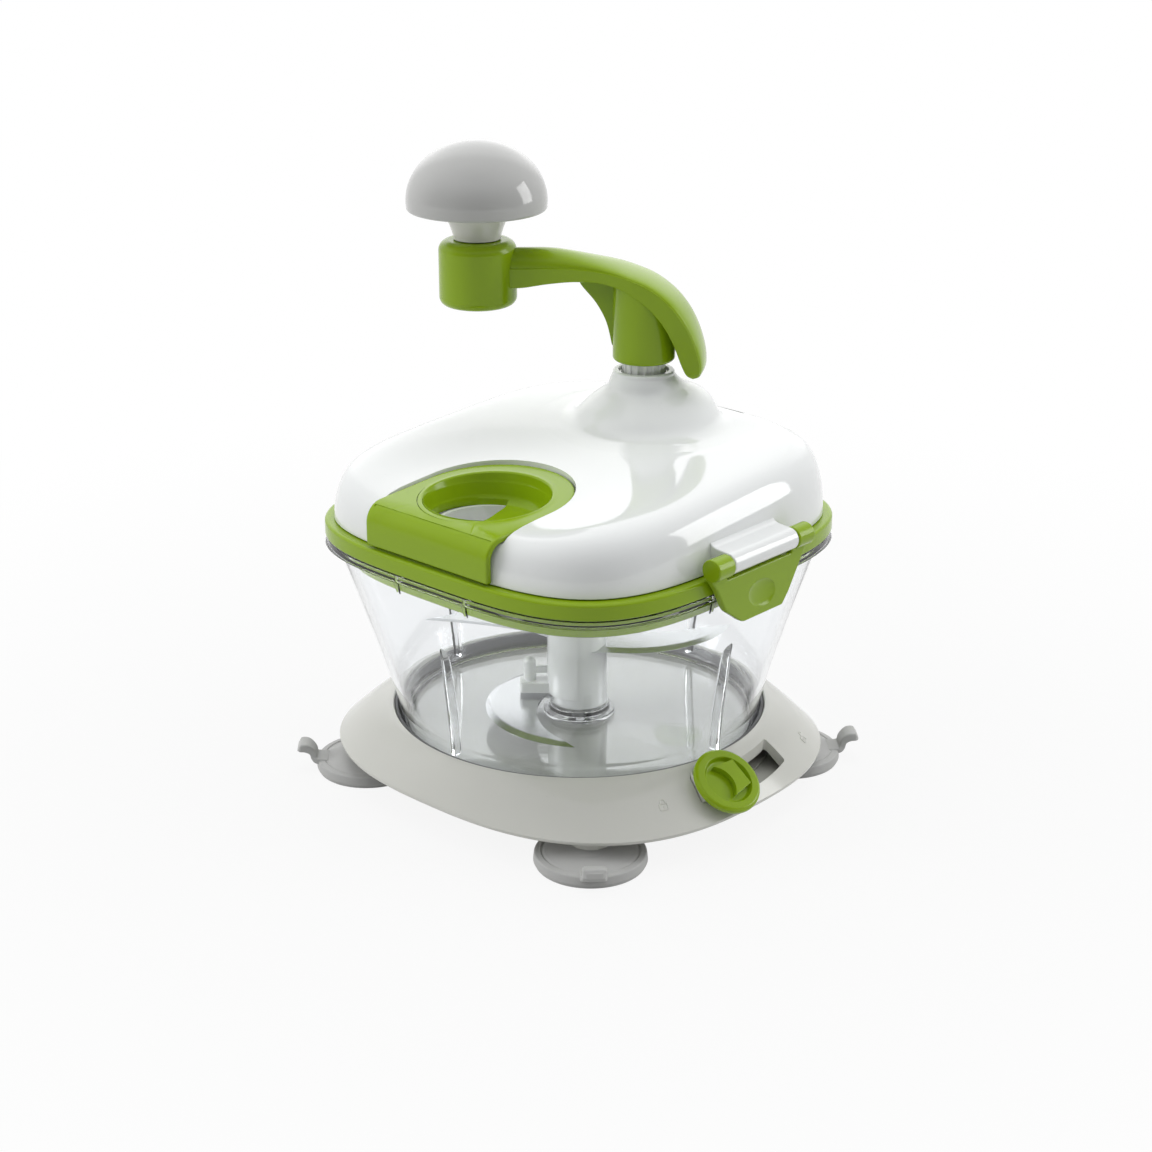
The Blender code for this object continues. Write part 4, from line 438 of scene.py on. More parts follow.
def finish(made, name, body, slot, nodes=(), sharp=34, look=None):
    """Brings a piece to metres, shades it, and sets it on its body."""
    mesh = made.data
    mesh.transform(Matrix.Scale(MM, 4))
    mesh.shade_smooth()
    mesh.set_sharp_from_angle(angle=math.radians(sharp))
    even = made.modifiers.new("even", "WEIGHTED_NORMAL")
    even.keep_sharp = True
    settle(made)
    made.name = name
    made.data.name = name
    made.data.materials.clear()
    made.data.materials.append(look or LOOKS[slot])
    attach(made, body)
    if nodes:
        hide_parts(*nodes)
    return made


# Node trees


class Value:
    """A node's output that Python can add, take away and multiply."""

    def __init__(self, recipe, socket):
        self.recipe = recipe
        self.socket = socket

    def reckon(self, operation, other):
        return self.recipe.node("ShaderNodeMath", {0: self, 1: other}, operation=operation)

    def __add__(self, other):
        return self.reckon("ADD", other)

    def __sub__(self, other):
        return self.reckon("SUBTRACT", other)

    def __mul__(self, other):
        return self.reckon("MULTIPLY", other)

    def or_more(self, other):
        return self.reckon("MAXIMUM", other)

    __radd__ = __add__


class Recipe:
    """A node tree under construction."""

    def __init__(self, tree):
        self.tree = tree

    def node(self, kind, values=None, output=0, **settings):
        """Adds a node: its settings first, then what goes into its sockets."""
        made = self.tree.nodes.new(kind)
        for key, setting in settings.items():
            if key == "stops":
                ramp = made.color_ramp
                while len(ramp.elements) < len(setting):
                    ramp.elements.new(0.5)
                for stop, (place, tone) in zip(ramp.elements, setting):
                    stop.position = place
                    stop.color = (tone, tone, tone, 1)
            else:
                setattr(made, key, setting)
        for key, value in (values or {}).items():
            place = made.inputs[key]
            if isinstance(value, Value):
                self.tree.links.new(value.socket, place)
            else:
                place.default_value = value
        return Value(self, made.outputs[output])

    def place(self, turn=(0, 0, 0), stretch=(1, 1, 1)):
        """Object coordinates, turned and stretched for a pattern."""
        here = self.node("ShaderNodeTexCoord", output="Object")
        values = {"Vector": here, "Rotation": turn, "Scale": [1 / s for s in stretch]}
        return self.node("ShaderNodeMapping", values, vector_type="TEXTURE")

    def noise(self, place, scale, detail=2.0, roughness=0.5):
        values = {"Vector": place, "Scale": scale, "Detail": detail, "Roughness": roughness}
        return self.node("ShaderNodeTexNoise", values)

    def ramp(self, value, *stops):
        return self.node("ShaderNodeValToRGB", {0: value}, stops=stops)

    def tint(self, share, first, second):
        """Colour a share of the way from one colour to another."""
        return self.node("ShaderNodeMix", {0: share, 6: first, 7: second}, 2, data_type="RGBA")

    def bump(self, height, distance):
        return self.node("ShaderNodeBump", {"Height": height, "Distance": distance, "Strength": 1.0})

    def ease(self, value, start, end, low=0.0, high=1.0):
        """Goes smoothly from low to high while a value goes from start to end."""
        values = {0: value, 1: start, 2: end, 3: low, 4: high}
        return self.node("ShaderNodeMapRange", values, interpolation_type="SMOOTHSTEP")

    def along(self, heading, way):
        """1 where a direction points the given way, -1 where it points away from it."""
        return self.node("ShaderNodeVectorMath", {0: heading, 1: way}, 1, operation="DOT_PRODUCT")

    def mix(self, share, first, second):
        return self.node("ShaderNodeMixShader", {0: share, 1: first, 2: second})

    def principled(self, values):
        return self.node("ShaderNodeBsdfPrincipled", values)

    def end(self, kind, value):
        """Puts a shader into the tree's output."""
        out = self.tree.nodes.new(kind)
        self.tree.links.new(value.socket, out.inputs["Surface"])

    def cylinder(self, vertices, radius, depth):
        values = {"Vertices": vertices, "Radius": radius, "Depth": depth}
        return self.node("GeometryNodeMeshCylinder", values)

    def joined(self, *parts):
        """Several geometries as one."""
        made = self.node("GeometryNodeJoinGeometry")
        for part in parts:
            self.tree.links.new(part.socket, made.socket.node.inputs[0])
        return made

    def on_points(self, points, instance):
        return self.node("GeometryNodeInstanceOnPoints", {"Points": points, "Instance": instance})

    def vector(self, x=0.0, y=0.0, z=0.0):
        return self.node("ShaderNodeCombineXYZ", {0: x, 1: y, 2: z})


def new_material(name):
    made = bpy.data.materials.new(name)
    made.use_nodes = True
    made.node_tree.nodes.clear()
    return made, Recipe(made.node_tree)


def rgb(colour):
    return (*colour, 1.0)


def scaled(colour, share):
    return rgb([c * share for c in colour])


def moulding(name, colour, roughness, haze=0.05, peel=0.00001, coat=0.0, tone=0.05, shine=0.5):
    """Glossy moulded plastic: slow drift of tone, orange peel, handling haze, hairline rubs."""
    made, recipe = new_material(name)
    here = recipe.place()
    drift = recipe.noise(here, 16, 3)
    cloud = recipe.ramp(recipe.noise(here, 48, 4, 0.6), (0.35, 0.0), (0.7, 1.0))
    fine = recipe.noise(here, 1400, 2)
    waves = recipe.noise(here, 210, 2)
    along = recipe.place((0.3, 0.5, 0.2), (1, 1, 26))
    rubs = recipe.ramp(recipe.noise(along, 110, 3, 0.7), (0.66, 0.0), (0.72, 1.0))
    specks = recipe.ramp(recipe.noise(here, 620, 1), (0.74, 0.0), (0.8, 1.0))
    base = recipe.tint(drift, scaled(colour, 1 - tone), scaled(colour, 1 + tone))
    recipe.end("ShaderNodeOutputMaterial", recipe.principled({
        "Base Color": recipe.tint(specks * 0.12, base, scaled(colour, 0.72)),
        "Roughness": roughness + cloud * haze + rubs * 0.06,
        "Normal": recipe.bump(fine * 0.35 + waves * 0.65 - rubs * 0.15, peel),
        "IOR": 1.5,
        "Specular IOR Level": shine,
        "Coat Weight": coat,
        "Coat Roughness": 0.06,
    }))
    return made


def rubber(name, colour, roughness=0.5):
    """Soft rubber with a fine darker grain and a pale, dusty bloom in random patches."""
    made, recipe = new_material(name)
    here = recipe.place()
    grain = recipe.noise(here, 2200, 3, 0.6)
    bloom = recipe.ramp(recipe.noise(here, 70, 4, 0.65), (0.4, 0.0), (0.75, 1.0))
    base = recipe.tint(bloom * 0.5, rgb(colour), scaled(colour, 1.12))
    recipe.end("ShaderNodeOutputMaterial", recipe.principled({
        "Base Color": recipe.tint(grain * 0.2, base, scaled(colour, 0.85)),
        "Roughness": roughness + bloom * 0.12,
        "Normal": recipe.bump(grain, 0.00003),
        "IOR": 1.52,
    }))
    return made


def ground_steel(name, heading=0.0, roughness=0.16):
    """Polished steel with grinding marks that run across the blade."""
    made, recipe = new_material(name)
    marks = recipe.noise(recipe.place((0, 0, heading), (14, 1, 14)), 220, 4, 0.65)
    fine = recipe.noise(recipe.place((0, 0, heading), (30, 1, 30)), 500, 3, 0.6)
    here = recipe.place()
    cloud = recipe.noise(here, 60, 4, 0.6)
    spots = recipe.ramp(recipe.noise(here, 900, 1), (0.72, 0.0), (0.78, 1.0))
    base = recipe.tint(cloud, scaled(STEEL, 0.93), scaled(STEEL, 1.05))
    recipe.end("ShaderNodeOutputMaterial", recipe.principled({
        "Base Color": recipe.tint(spots * 0.25, base, scaled(STEEL, 0.7)),
        "Metallic": 1.0,
        "Roughness": roughness + marks * 0.12 + cloud * 0.06,
        "Normal": recipe.bump(marks * 0.6 + fine * 0.4, 0.000012),
    }))
    return made


def clear_moulding(name):
    """Clear moulded plastic that lets light on to what is inside."""
    made, recipe = new_material(name)
    here = recipe.place()
    waves = recipe.noise(here, 60, 2)
    haze = recipe.ramp(recipe.noise(here, 42, 4, 0.6), (0.45, 0.0), (0.8, 1.0))
    scratches = recipe.noise(recipe.place((0.2, 0, 0.6), (1, 1, 18)), 130, 3, 0.7)
    rubs = recipe.ramp(scratches, (0.68, 0.0), (0.73, 1.0))
    body = recipe.principled({
        "Base Color": recipe.tint(haze, rgb((0.955, 0.965, 0.975)), rgb((0.935, 0.95, 0.96))),
        "Roughness": 0.012 + haze * 0.02 + rubs * 0.05,
        "Normal": recipe.bump(waves, 0.00002),
        "IOR": 1.49,
        "Transmission Weight": 1.0,
    })
    light = recipe.node("ShaderNodeBsdfTransparent", {"Color": rgb((0.97, 0.975, 0.98))})
    shadow = recipe.node("ShaderNodeLightPath", output="Is Shadow Ray")
    recipe.end("ShaderNodeOutputMaterial", recipe.mix(shadow, body, light))
    return made


GREEN = (0.252, 0.388, 0.006)
WHITE = (0.80, 0.815, 0.81)
BASE_WHITE = (0.62, 0.62, 0.575)
KNOB_WHITE = (0.46, 0.46, 0.45)
CUP_GREY = (0.48, 0.48, 0.47)
SEAT_BLACK = (0.13, 0.13, 0.135)
SEAL_BLACK = (0.02, 0.02, 0.022)
STEEL = (0.66, 0.67, 0.68)

LOOKS = {
    "green_plastic": moulding("lime moulding", GREEN, 0.16, peel=0.000012, tone=0.04, shine=0.3),
    "white_plastic": moulding("white moulding", WHITE, 0.07, haze=0.025, coat=0.3, tone=0.012),
    "grey_white_plastic": moulding("base moulding", BASE_WHITE, 0.14, tone=0.015, coat=0.15),
    "knob_plastic": moulding("knob moulding", KNOB_WHITE, 0.08, haze=0.03, coat=0.2, tone=0.02),
    "clear_plastic": clear_moulding("clear bowl moulding"),
    "grey_rubber": rubber("grey cup rubber", CUP_GREY),
    "dark_rubber": rubber("dark seal rubber", SEAL_BLACK, 0.45),
    "steel": ground_steel("turned steel", roughness=0.22),
}


# Repeated pieces


def geometry_tree(name, sizes):
    """Recipe of an empty geometry tree with named sizes, and its inputs by name."""
    tree = bpy.data.node_groups.new(name, "GeometryNodeTree")
    tree.interface.new_socket("Geometry", in_out="INPUT", socket_type="NodeSocketGeometry")
    tree.interface.new_socket("Geometry", in_out="OUTPUT", socket_type="NodeSocketGeometry")
    for key, value in sizes.items():
        kind = "NodeSocketInt" if isinstance(value, int) else "NodeSocketFloat"
        tree.interface.new_socket(key, in_out="INPUT", socket_type=kind)
    recipe = Recipe(tree)
    start = tree.nodes.new("NodeGroupInput")
    return recipe, {socket.name: Value(recipe, socket) for socket in start.outputs if socket.name}


def close_tree(recipe, instances, material):
    real = recipe.node("GeometryNodeRealizeInstances", {0: instances})
    painted = recipe.node("GeometryNodeSetMaterial", {"Geometry": real, "Material": material})
    end = recipe.tree.nodes.new("NodeGroupOutput")
    recipe.tree.links.new(painted.socket, end.inputs[0])


def grow(points, recipe, sizes):
    """Plain mesh that a geometry tree makes on some points."""
    build = bmesh.new()
    for point in points:
        build.verts.new(point)
    made = shape(build)
    step = made.modifiers.new("grown", "NODES")
    step.node_group = recipe.tree
    for item in recipe.tree.interface.items_tree:
        if item.in_out == "INPUT" and item.name in sizes:
            step[item.identifier] = sizes[item.name]
    return settle(made)


def screw_recipe(sizes):
    """Round-headed screw with a cross recess, its head down, on every point."""
    recipe, size = geometry_tree("screws on points", sizes)
    radius, height, slot = size["Head Radius"], size["Head Height"], size["Slot Width"]
    head = recipe.node("GeometryNodeMeshCone", {
        "Vertices": 28,
        "Radius Top": radius,
        "Radius Bottom": radius * 0.78,
        "Depth": height,
    })
    shank = recipe.cylinder(20, size["Shank Radius"], size["Length"])
    lift = recipe.vector(z=height + size["Length"] * 0.5 - 0.1)
    shank = recipe.node("GeometryNodeTransform", {"Geometry": shank, "Translation": lift})
    bars = []
    for wide, deep in ((radius * 1.1, slot), (slot, radius * 1.1)):
        bars.append(recipe.node("GeometryNodeMeshCube", {"Size": recipe.vector(wide, deep, height)}))
    recess = {"Mesh 1": head, "Mesh 2": recipe.joined(*bars)}
    drilled = recipe.node("GeometryNodeMeshBoolean", recess, operation="DIFFERENCE")
    many = recipe.on_points(size["Geometry"], recipe.joined(drilled, shank))
    close_tree(recipe, many, LOOKS["steel"])
    return recipe


def numbered(name, count):
    return [f"{name}_{k}" for k in range(1, count + 1)]


def add_screws():
    sizes = {"Head Radius": 3.2, "Head Height": 1.44, "Shank Radius": 1.45, "Length": 6.4, "Slot Width": 0.75}
    recipe = screw_recipe(sizes)
    lid_nodes = numbered("cover_screw", 4) + numbered("bridge_screw", 3)
    for body, spots, seat_z, length, nodes in (
        ("base", BASE_SCREWS, BASE_SCREW_Z, 6.4, numbered("base_screw", 4)),
        ("lid", COVER_SCREWS + BRIDGE_SCREWS, LID_SCREW_Z, 8.0, lid_nodes),
    ):
        sizes["Length"] = length
        spots = [(x, y, seat_z - sizes["Head Height"]) for x, y in spots]
        finish(grow(spots, recipe, sizes), f"{body}_screws", body, "steel", nodes)


def spindle_recipe(sizes):
    """Shaft with upright ribs all round it."""
    recipe, size = geometry_tree("ribbed shaft", sizes)
    core = recipe.cylinder(64, size["Radius"], size["Length"])
    rib = recipe.cylinder(12, size["Rib Radius"], size["Length"])
    circle = recipe.node("GeometryNodeMeshCircle", {
        "Vertices": size["Ribs"],
        "Radius": size["Radius"] + size["Rib Height"] - size["Rib Radius"],
    })
    ribs = recipe.on_points(circle, rib)
    many = recipe.on_points(size["Geometry"], recipe.joined(core, ribs))
    close_tree(recipe, many, LOOKS["white_plastic"])
    return recipe


def add_spindle():
    low, high = SPINDLE_Z, CRANK_HUB_Z + 15
    sizes = {"Radius": SPINDLE_R, "Rib Radius": 0.95, "Rib Height": 0.5, "Length": high - low, "Ribs": 16}
    shaft = grow([(0, CRANK_Y, (low + high) / 2)], spindle_recipe(sizes), sizes)
    finish(shaft, "ribbed_spindle", "crank", "white_plastic", ["crank_spindle"], sharp=50)


# Base


def base_edge(inset):
    return squircle(BASE_HALF[0] - inset, BASE_HALF[1] - inset, BASE_POWER)


def flank_z(height):
    """Height on the base's flank, from its share of the way up."""
    return BASE_LIP_Z + (BASE_RIM_Z - BASE_LIP_Z) * height


def flank_place(angle, share):
    """Point on the base's sloping flank, from its share of the way in."""
    out = squircle_reach(BASE_HALF, BASE_POWER, angle)
    rows = through(FLANK, 40)
    place = min(range(40), key=lambda k: abs(rows[k][0] - share) + abs(rows[k + 1][0] - share))
    low, high = rows[place], rows[place + 1]
    part = (share - low[0]) / (high[0] - low[0])
    height = low[1] + part * (high[1] - low[1])
    r = out + share * (FLANK_R - out)
    return Vector((r * math.cos(angle), r * math.sin(angle), flank_z(height)))


def flank_point(angle, share, lift):
    """Point a little off the base's flank, square to it."""
    here = flank_place(angle, share)
    aside, inward = flank_place(angle + 0.01, share) - here, flank_place(angle, share + 0.01) - here
    return here + aside.cross(inward).normalized() * lift


def add_base():
    outer, opening = base_edge(0), oval(FLANK_R, FLANK_R)
    rings = [
        level(base_edge(0.7), BASE_EDGE_Z),
        level(base_edge(0.2), BASE_EDGE_Z + 0.25),
        level(outer, BASE_EDGE_Z + 0.8),
    ]
    for share, height in through(FLANK, 24):
        rings.append(level(blend(outer, opening, share), flank_z(height)))
    shell = loft(rings)
    low = base_edge(BASE_WALL)
    inner = oval(OPENING_R + BASE_WALL, OPENING_R + BASE_WALL)
    hollow = [level(low, 10), level(low, 14.9)]
    for share, height in ((0.32, 0.34), (0.68, 0.69), (1.0, 0.9)):
        hollow.append(level(blend(low, inner, share), flank_z(height) - 3.4))
    hollow.append(level(inner, BASE_FLOOR_Z - BASE_WALL))
    well = lathe([
        (0, BASE_FLOOR_Z),
        (OPENING_R, BASE_FLOOR_Z),
        (OPENING_R, BASE_RIM_Z - 0.6),
        (OPENING_R + 0.6, BASE_RIM_Z + 0.05),
        (OPENING_R + 0.6, 40),
        (0, 40),
    ], RING)
    cut(shell, loft(hollow), well)
    join(shell, *[rod(4.0, 15.1, 21.5, spot, 32) for spot in BASE_SCREWS])
    pilots = [rod(1.7, 14, 19.7, spot, 24) for spot in BASE_SCREWS]
    rooms = [rod(4.8, 13, 19.5, (sx * CUP_AT, sy * CUP_AT), 32) for sx, sy in CORNERS]
    cut(shell, *pilots, *rooms, slot_solid(14.4, 40))
    finish(shell, "base_shell_moulding", "base", "grey_white_plastic", ["base_shell"])


def slot_solid(low, high):
    """Curved slot for the lever's neck, with rounded corners."""
    start, end = SLOT_ENDS
    corners = []
    for r, a, b in ((SLOT_R + SLOT_W / 2, start, end), (SLOT_R - SLOT_W / 2, end, start)):
        for k in range(25):
            angle = a + (b - a) * k / 24
            corners.append((r * math.cos(angle), r * math.sin(angle), 1.2 if k in (0, 24) else 0))
    return prism(rounded(corners), low, high)


def stroke(lines, angle, share, size):
    """Raised line drawing on the base's flank; lines hold points in a square of side 2."""
    curve = bpy.data.curves.new("stroke", "CURVE")
    curve.dimensions = "3D"
    curve.bevel_depth = STROKE_R
    curve.bevel_resolution = 2
    curve.use_fill_caps = True
    reach = squircle_reach(BASE_HALF, BASE_POWER, angle)
    slope = math.hypot(reach - OPENING_R, BASE_RIM_Z - BASE_LIP_Z)
    r = reach + share * (OPENING_R - reach)
    for points in lines:
        line = curve.splines.new("POLY")
        line.points.add(len(points) - 1)
        for spot, (u, v) in zip(line.points, points):
            place = flank_point(angle + size * u / r, share + size * v / slope, -STROKE_SINK)
            spot.co = (*place, 1)
    made = put("stroke", curve)
    mesh = worked_out(made)
    bpy.data.objects.remove(made, do_unlink=True)
    return put("stroke", mesh)


def padlock(bow_shift):
    """Lines of a padlock, shut, or open with its bow shifted."""
    body = rounded([(-0.8, -1, 0.2), (0.8, -1, 0.2), (0.8, 0.2, 0.2), (-0.8, 0.2, 0.2)])
    bow = [(-0.5, 0.2)] + arc((0, 0.55), 0.5, 0, 180, 10)[::-1] + [(0.5, 0.2)]
    bow = [(x + bow_shift, y) for x, y in bow]
    if bow_shift:
        bow = bow[:-1]
    return [body + body[:1], bow, [(0, -0.25), (0, -0.6)]]


def add_pictograms():
    arrow = [
        [(-1, 0.0), (1, 0.0)],
        [(-0.6, 0.35), (-1, 0.0), (-0.6, -0.35)],
        [(0.6, 0.35), (1, 0.0), (0.6, -0.35)],
    ]
    marks = [
        stroke(padlock(0), math.radians(-27.1), 0.42, 2.1),
        stroke(padlock(0.9), math.radians(29.8), 0.3, 2.1),
        stroke(arrow, math.radians(-1.5), 0.84, 4.6),
    ]
    finish(together(*marks), "lever_pictograms", "base", "grey_white_plastic")


def add_seat_ring():
    near, far, low = FOOT_R + 0.4, OPENING_R - 0.2, BASE_FLOOR_Z + 0.3
    gasket = lathe(rounded([(near, 30.4, 0.4), (far, 30.4, 0.4), (far, low, 0.2), (near, low, 0.2)]), RING)
    look = rubber("seat rubber", SEAT_BLACK)
    finish(gasket, "seat_gasket", "base", "dark_rubber", ["seat_ring"], look=look)


def add_cups():
    profile = rounded([
        (2.3, 12.8, 0),
        (7.0, 12.8, 0.4),
        (7.0, 9.4, 0.8),
        (10.6, 7.6, 2.5),
        (18.0, 5.4, 1.2),
        (19.0, 4.9, 0.5),
        (19.6, 5.3, 0.5),
        (22.0, 5.0, 0.8),
        (CUP_R, 1.6, 0.6),
        (21.6, 0.0, 0.3),
        (19.6, 0.0, 0.3),
        (18.8, 0.6, 0.4),
        (6.0, 1.7, 0),
        (0, 1.9, 0),
        (0, 2.9, 0),
        (6.8, 2.9, 0),
        (6.8, 7.2, 0),
        (2.3, 7.2, 0),
    ])
    on_axis = [k for k, point in enumerate(profile) if point[0] < 1e-6]
    profile = profile[on_axis[1]:] + profile[:on_axis[1]]
    for k, (sx, sy) in enumerate(((1, -1), (-1, -1), (-1, 1), (1, 1)), 1):
        cup = join(lathe(profile, 72), pull_tab())
        turn = Matrix.Rotation(math.atan2(sy, sx), 4, "Z")
        moved(cup, Matrix.Translation((sx * CUP_AT, sy * CUP_AT, 0)) @ turn)
        finish(cup, f"rubber_cup_{k}", "base", "grey_rubber", [f"suction_cup_{k}"])


# Way out from a cup's middle, height, half width and thickness along its tab
TAB = (
    (17.5, 3.4, 5.4, 2.2),
    (22.4, 3.6, 5.2, 2.4),
    (24.4, 5.2, 4.6, 2.6),
    (25.2, 7.4, 4.2, 3.0),
    (27.0, 8.6, 4.6, 3.6),
    (29.4, 8.8, 4.4, 3.2),
    (30.4, 9.0, 3.2, 2.0),
)


def pull_tab():
    """Curled tab on a cup's rim, with a rounded end."""
    rows = through(TAB, 30)
    rings = []
    for k, (x, z, half, thick) in enumerate(rows):
        a, b = rows[max(0, k - 1)], rows[min(len(rows) - 1, k + 1)]
        along = Vector((b[0] - a[0], 0, b[1] - a[1])).normalized()
        up = Vector((-along.z, 0, along.x))
        section = rounded([(-half, 0, 0.7), (half, 0, 0.7), (half, thick, 0.9), (-half, thick, 0.9)])
        rings.append([Vector((x, 0, z)) + Vector((0, y, 0)) + up * h for y, h in section])
    return loft(rings)


def add_lever_knob():
    knob = lathe(chain([
        (0, 1.2, 0),
        (9.2, 1.2, 0.9),
        (10.2, 3.1, 0.4),
        (13.1, 3.0, 1.0),
        (14.2, 2.0, 0.8),
        (14.2, 0.5, 0.5),
        (13.5, 0.0, 0.3),
        (0, 0.0, 0),
    ]))
    grip = arc((-7.4, 0), 8.4, -58, 58, 28) + [(7.2, 5.9), (7.2, -5.9)]
    join(knob, turned(soften(prism(grip, 0.8, 4.0), 0.5, 3, 60), 98))
    turn = Matrix.Rotation(LEVER_ANGLE, 4, "Z")
    moved(knob, turn @ Matrix.Translation(LEVER_KNOB_AT) @ Matrix.Rotation(LEVER_KNOB_TILT, 4, "Y"))
    finish(knob, "lever_knob", "lever", "green_plastic", ["suction_knob"])


# Bowl


def bowl_outline(z, inset=0.0):
    share = max(0.0, (z - FOOT_TOP_Z) / (BOWL_TOP_Z - FOOT_TOP_Z)) ** BOWL_FLARE
    return blend(oval(FOOT_R - inset, FOOT_R - inset), square(BOWL_HALF - inset, BOWL_POWER), share)


def bowl_ring(z, inset=0.0):
    return level(bowl_outline(z, inset), z)


def add_bowl():
    rings = [[(0, 0, BOWL_LOW_Z)], ring(40, BOWL_LOW_Z)]
    foot = chain([(70, BOWL_LOW_Z, 0), (FOOT_R, BOWL_LOW_Z, 1.4), (FOOT_R, FOOT_TOP_Z, 0)])
    rings += [ring(r, z) for r, z in foot]
    rise = FLANGE_Z - 0.8 - FOOT_TOP_Z
    rings += [bowl_ring(FOOT_TOP_Z + rise * k / 22) for k in range(1, 23)]
    edge = FLANGE_HALF - BOWL_HALF + BOWL_WALL
    lip = chain([
        (BOWL_HALF - FLANGE_HALF - 0.3, FLANGE_Z, 0.8),
        (0.0, FLANGE_Z, 0.7),
        (0.0, BOWL_TOP_Z, 0.6),
        (edge, BOWL_TOP_Z, 0.6),
        (edge, BOWL_TOP_Z - 3, 0),
    ])
    rings += [level(square(FLANGE_HALF - inset, BOWL_POWER), z) for inset, z in lip[1:]]
    rings += [bowl_ring(102.4 - (102.4 - 34.0) * k / 20, BOWL_WALL) for k in range(21)]
    inner = FOOT_R - BOWL_WALL
    floor = chain([(inner, 33.0, 0), (inner, BOWL_FLOOR_Z, 4.5), (20, BOWL_FLOOR_Z, 0)])
    boss = rounded([
        (14.8, BOWL_FLOOR_Z, 0.4),
        (14.8, BOWL_FLOOR_Z + 1.6, 0.5),
        (12.6, BOWL_FLOOR_Z + 1.9, 0.4),
        (12.6, BOSS_TOP_Z, 0.5),
        (3.1, BOSS_TOP_Z, 0.2),
        (3.1, PIN_FOOT_Z, 0),
    ])
    rings += [ring(r, z) for r, z in floor + boss]
    bowl = loft(rings + [[(0, 0, PIN_FOOT_Z)]], ends=False)
    for side in range(4):
        pieces = [rim_web(-1), rim_web(1), inner_rib()]
        join(bowl, *[turned(piece, 90 * side) for piece in pieces])
    finish(bowl, "clear_bowl", "bowl", "clear_plastic", ["bowl"], sharp=30)


def rim_web(sign):
    """Small web under the bowl's rim, drawn on the -Y side."""
    top, foot = FLANGE_Z + 1, FLANGE_Z - 6.6
    web = across_x([
        (-FLANGE_HALF + 0.9, top),
        (-BOWL_HALF + 3.0, top),
        (-BOWL_HALF + 4.0, foot),
        (-FLANGE_HALF + 3.6, foot),
    ], sign * WEB_X - 0.8, sign * WEB_X + 0.8)
    return soften(web, 0.25, 2)


def inner_rib():
    """Upright rib with a pointed top inside the -Y wall."""
    wall = -FOOT_R + BOWL_WALL
    rows = through([
        (wall - 0.8, wall + 3.6, 29.5, 1.3),
        (wall - 1.6, wall + 3.0, 44.0, 1.15),
        (wall - 3.6, wall + 0.6, 62.0, 1.0),
        (wall - 4.8, wall - 1.4, 72.5, 0.8),
        (wall - 6.0, wall - 5.2, 77.5, 0.3),
    ], 24)
    rings = []
    for back, nose, z, half in rows:
        tip, round_by = half * 0.7, half * 0.6
        section = rounded([(-half, back, 0), (half, back, 0), (tip, nose, round_by), (-tip, nose, round_by)])
        rings.append(level(section, z))
    return loft(rings)


# Blades

LOWER_BLADE = (
    ((-19.0, -25.5), (22.0, -36.6), (52.4, 1.0)),
    ((52.4, 1.0), (26.0, -15.6), (4.0, -14.0)),
    ((9.0, -5.0), (8.0, 4.0), (1.0, 9.5), (-9.0, 6.0)),
)
UPPER_BLADE = (
    ((9.0, -13.2), (32.0, -18.3), (66.0, 0.0)),
    ((66.0, 0.0), (40.0, -0.6), (18.0, 2.6)),
    ((10.0, 7.0), (0.0, 9.5), (-8.0, 5.0), (-8.0, -5.0), (-2.0, -10.0)),
)
# Height, heading in degrees, and the cutting edge, back and root of each blade
BLADES = ((33.0, 309.2, *LOWER_BLADE), (56.6, 57.7, *UPPER_BLADE), (60.6, 210.2, *UPPER_BLADE))


def circle_through(a, b, c):
    ax, ay, bx, by, cx, cy = *a, *b, *c
    d = 2 * (ax * (by - cy) + bx * (cy - ay) + cx * (ay - by))
    sa, sb, sc = ax**2 + ay**2, bx**2 + by**2, cx**2 + cy**2
    x = (sa * (by - cy) + sb * (cy - ay) + sc * (ay - by)) / d
    y = (sa * (cx - bx) + sb * (ax - cx) + sc * (bx - ax)) / d
    return (x, y), math.hypot(ax - x, ay - y)


def arc_through(a, b, c, count):
    centre, radius = circle_through(a, b, c)
    start, middle, end = (math.atan2(p[1] - centre[1], p[0] - centre[0]) for p in (a, b, c))
    sweep = (end - start) % (2 * math.pi)
    if (middle - start) % (2 * math.pi) > sweep:
        sweep -= 2 * math.pi
    steps = [start + sweep * k / count for k in range(count + 1)]
    return [(centre[0] + radius * math.cos(t), centre[1] + radius * math.sin(t)) for t in steps]


def add_blades():
    for k, (z, heading, edge, back, root) in enumerate(BLADES, 1):
        outline = arc_through(*edge, 72) + arc_through(*back, 48)[1:] + list(root)
        low, high = z - BLADE_T / 2, z + BLADE_T / 2
        blade = prism(outline, low, high)
        centre, radius = circle_through(*edge)
        grind = lathe([
            (radius - 3.6, high),
            (radius - 3.6, high + 3),
            (radius + 4, high + 3),
            (radius + 4, low + 0.12),
            (radius, low + 0.12),
            (radius - 2.2, high - 0.28),
        ], 240)
        cut(blade, shifted(grind, *centre), rod(6.5, 20, 90))
        turned(blade, heading)
        look = ground_steel(f"ground blade steel {k}", math.radians(heading) + math.radians(70), 0.13)
        finish(blade, f"ground_blade_{k}", "blades", "steel", [f"blade_{k}"], sharp=12, look=look)


def hub_radius(z):
    share = (z - HUB_LOW[1]) / (HUB_HIGH[1] - HUB_LOW[1])
    return HUB_LOW[0] + share * (HUB_HIGH[0] - HUB_LOW[0])


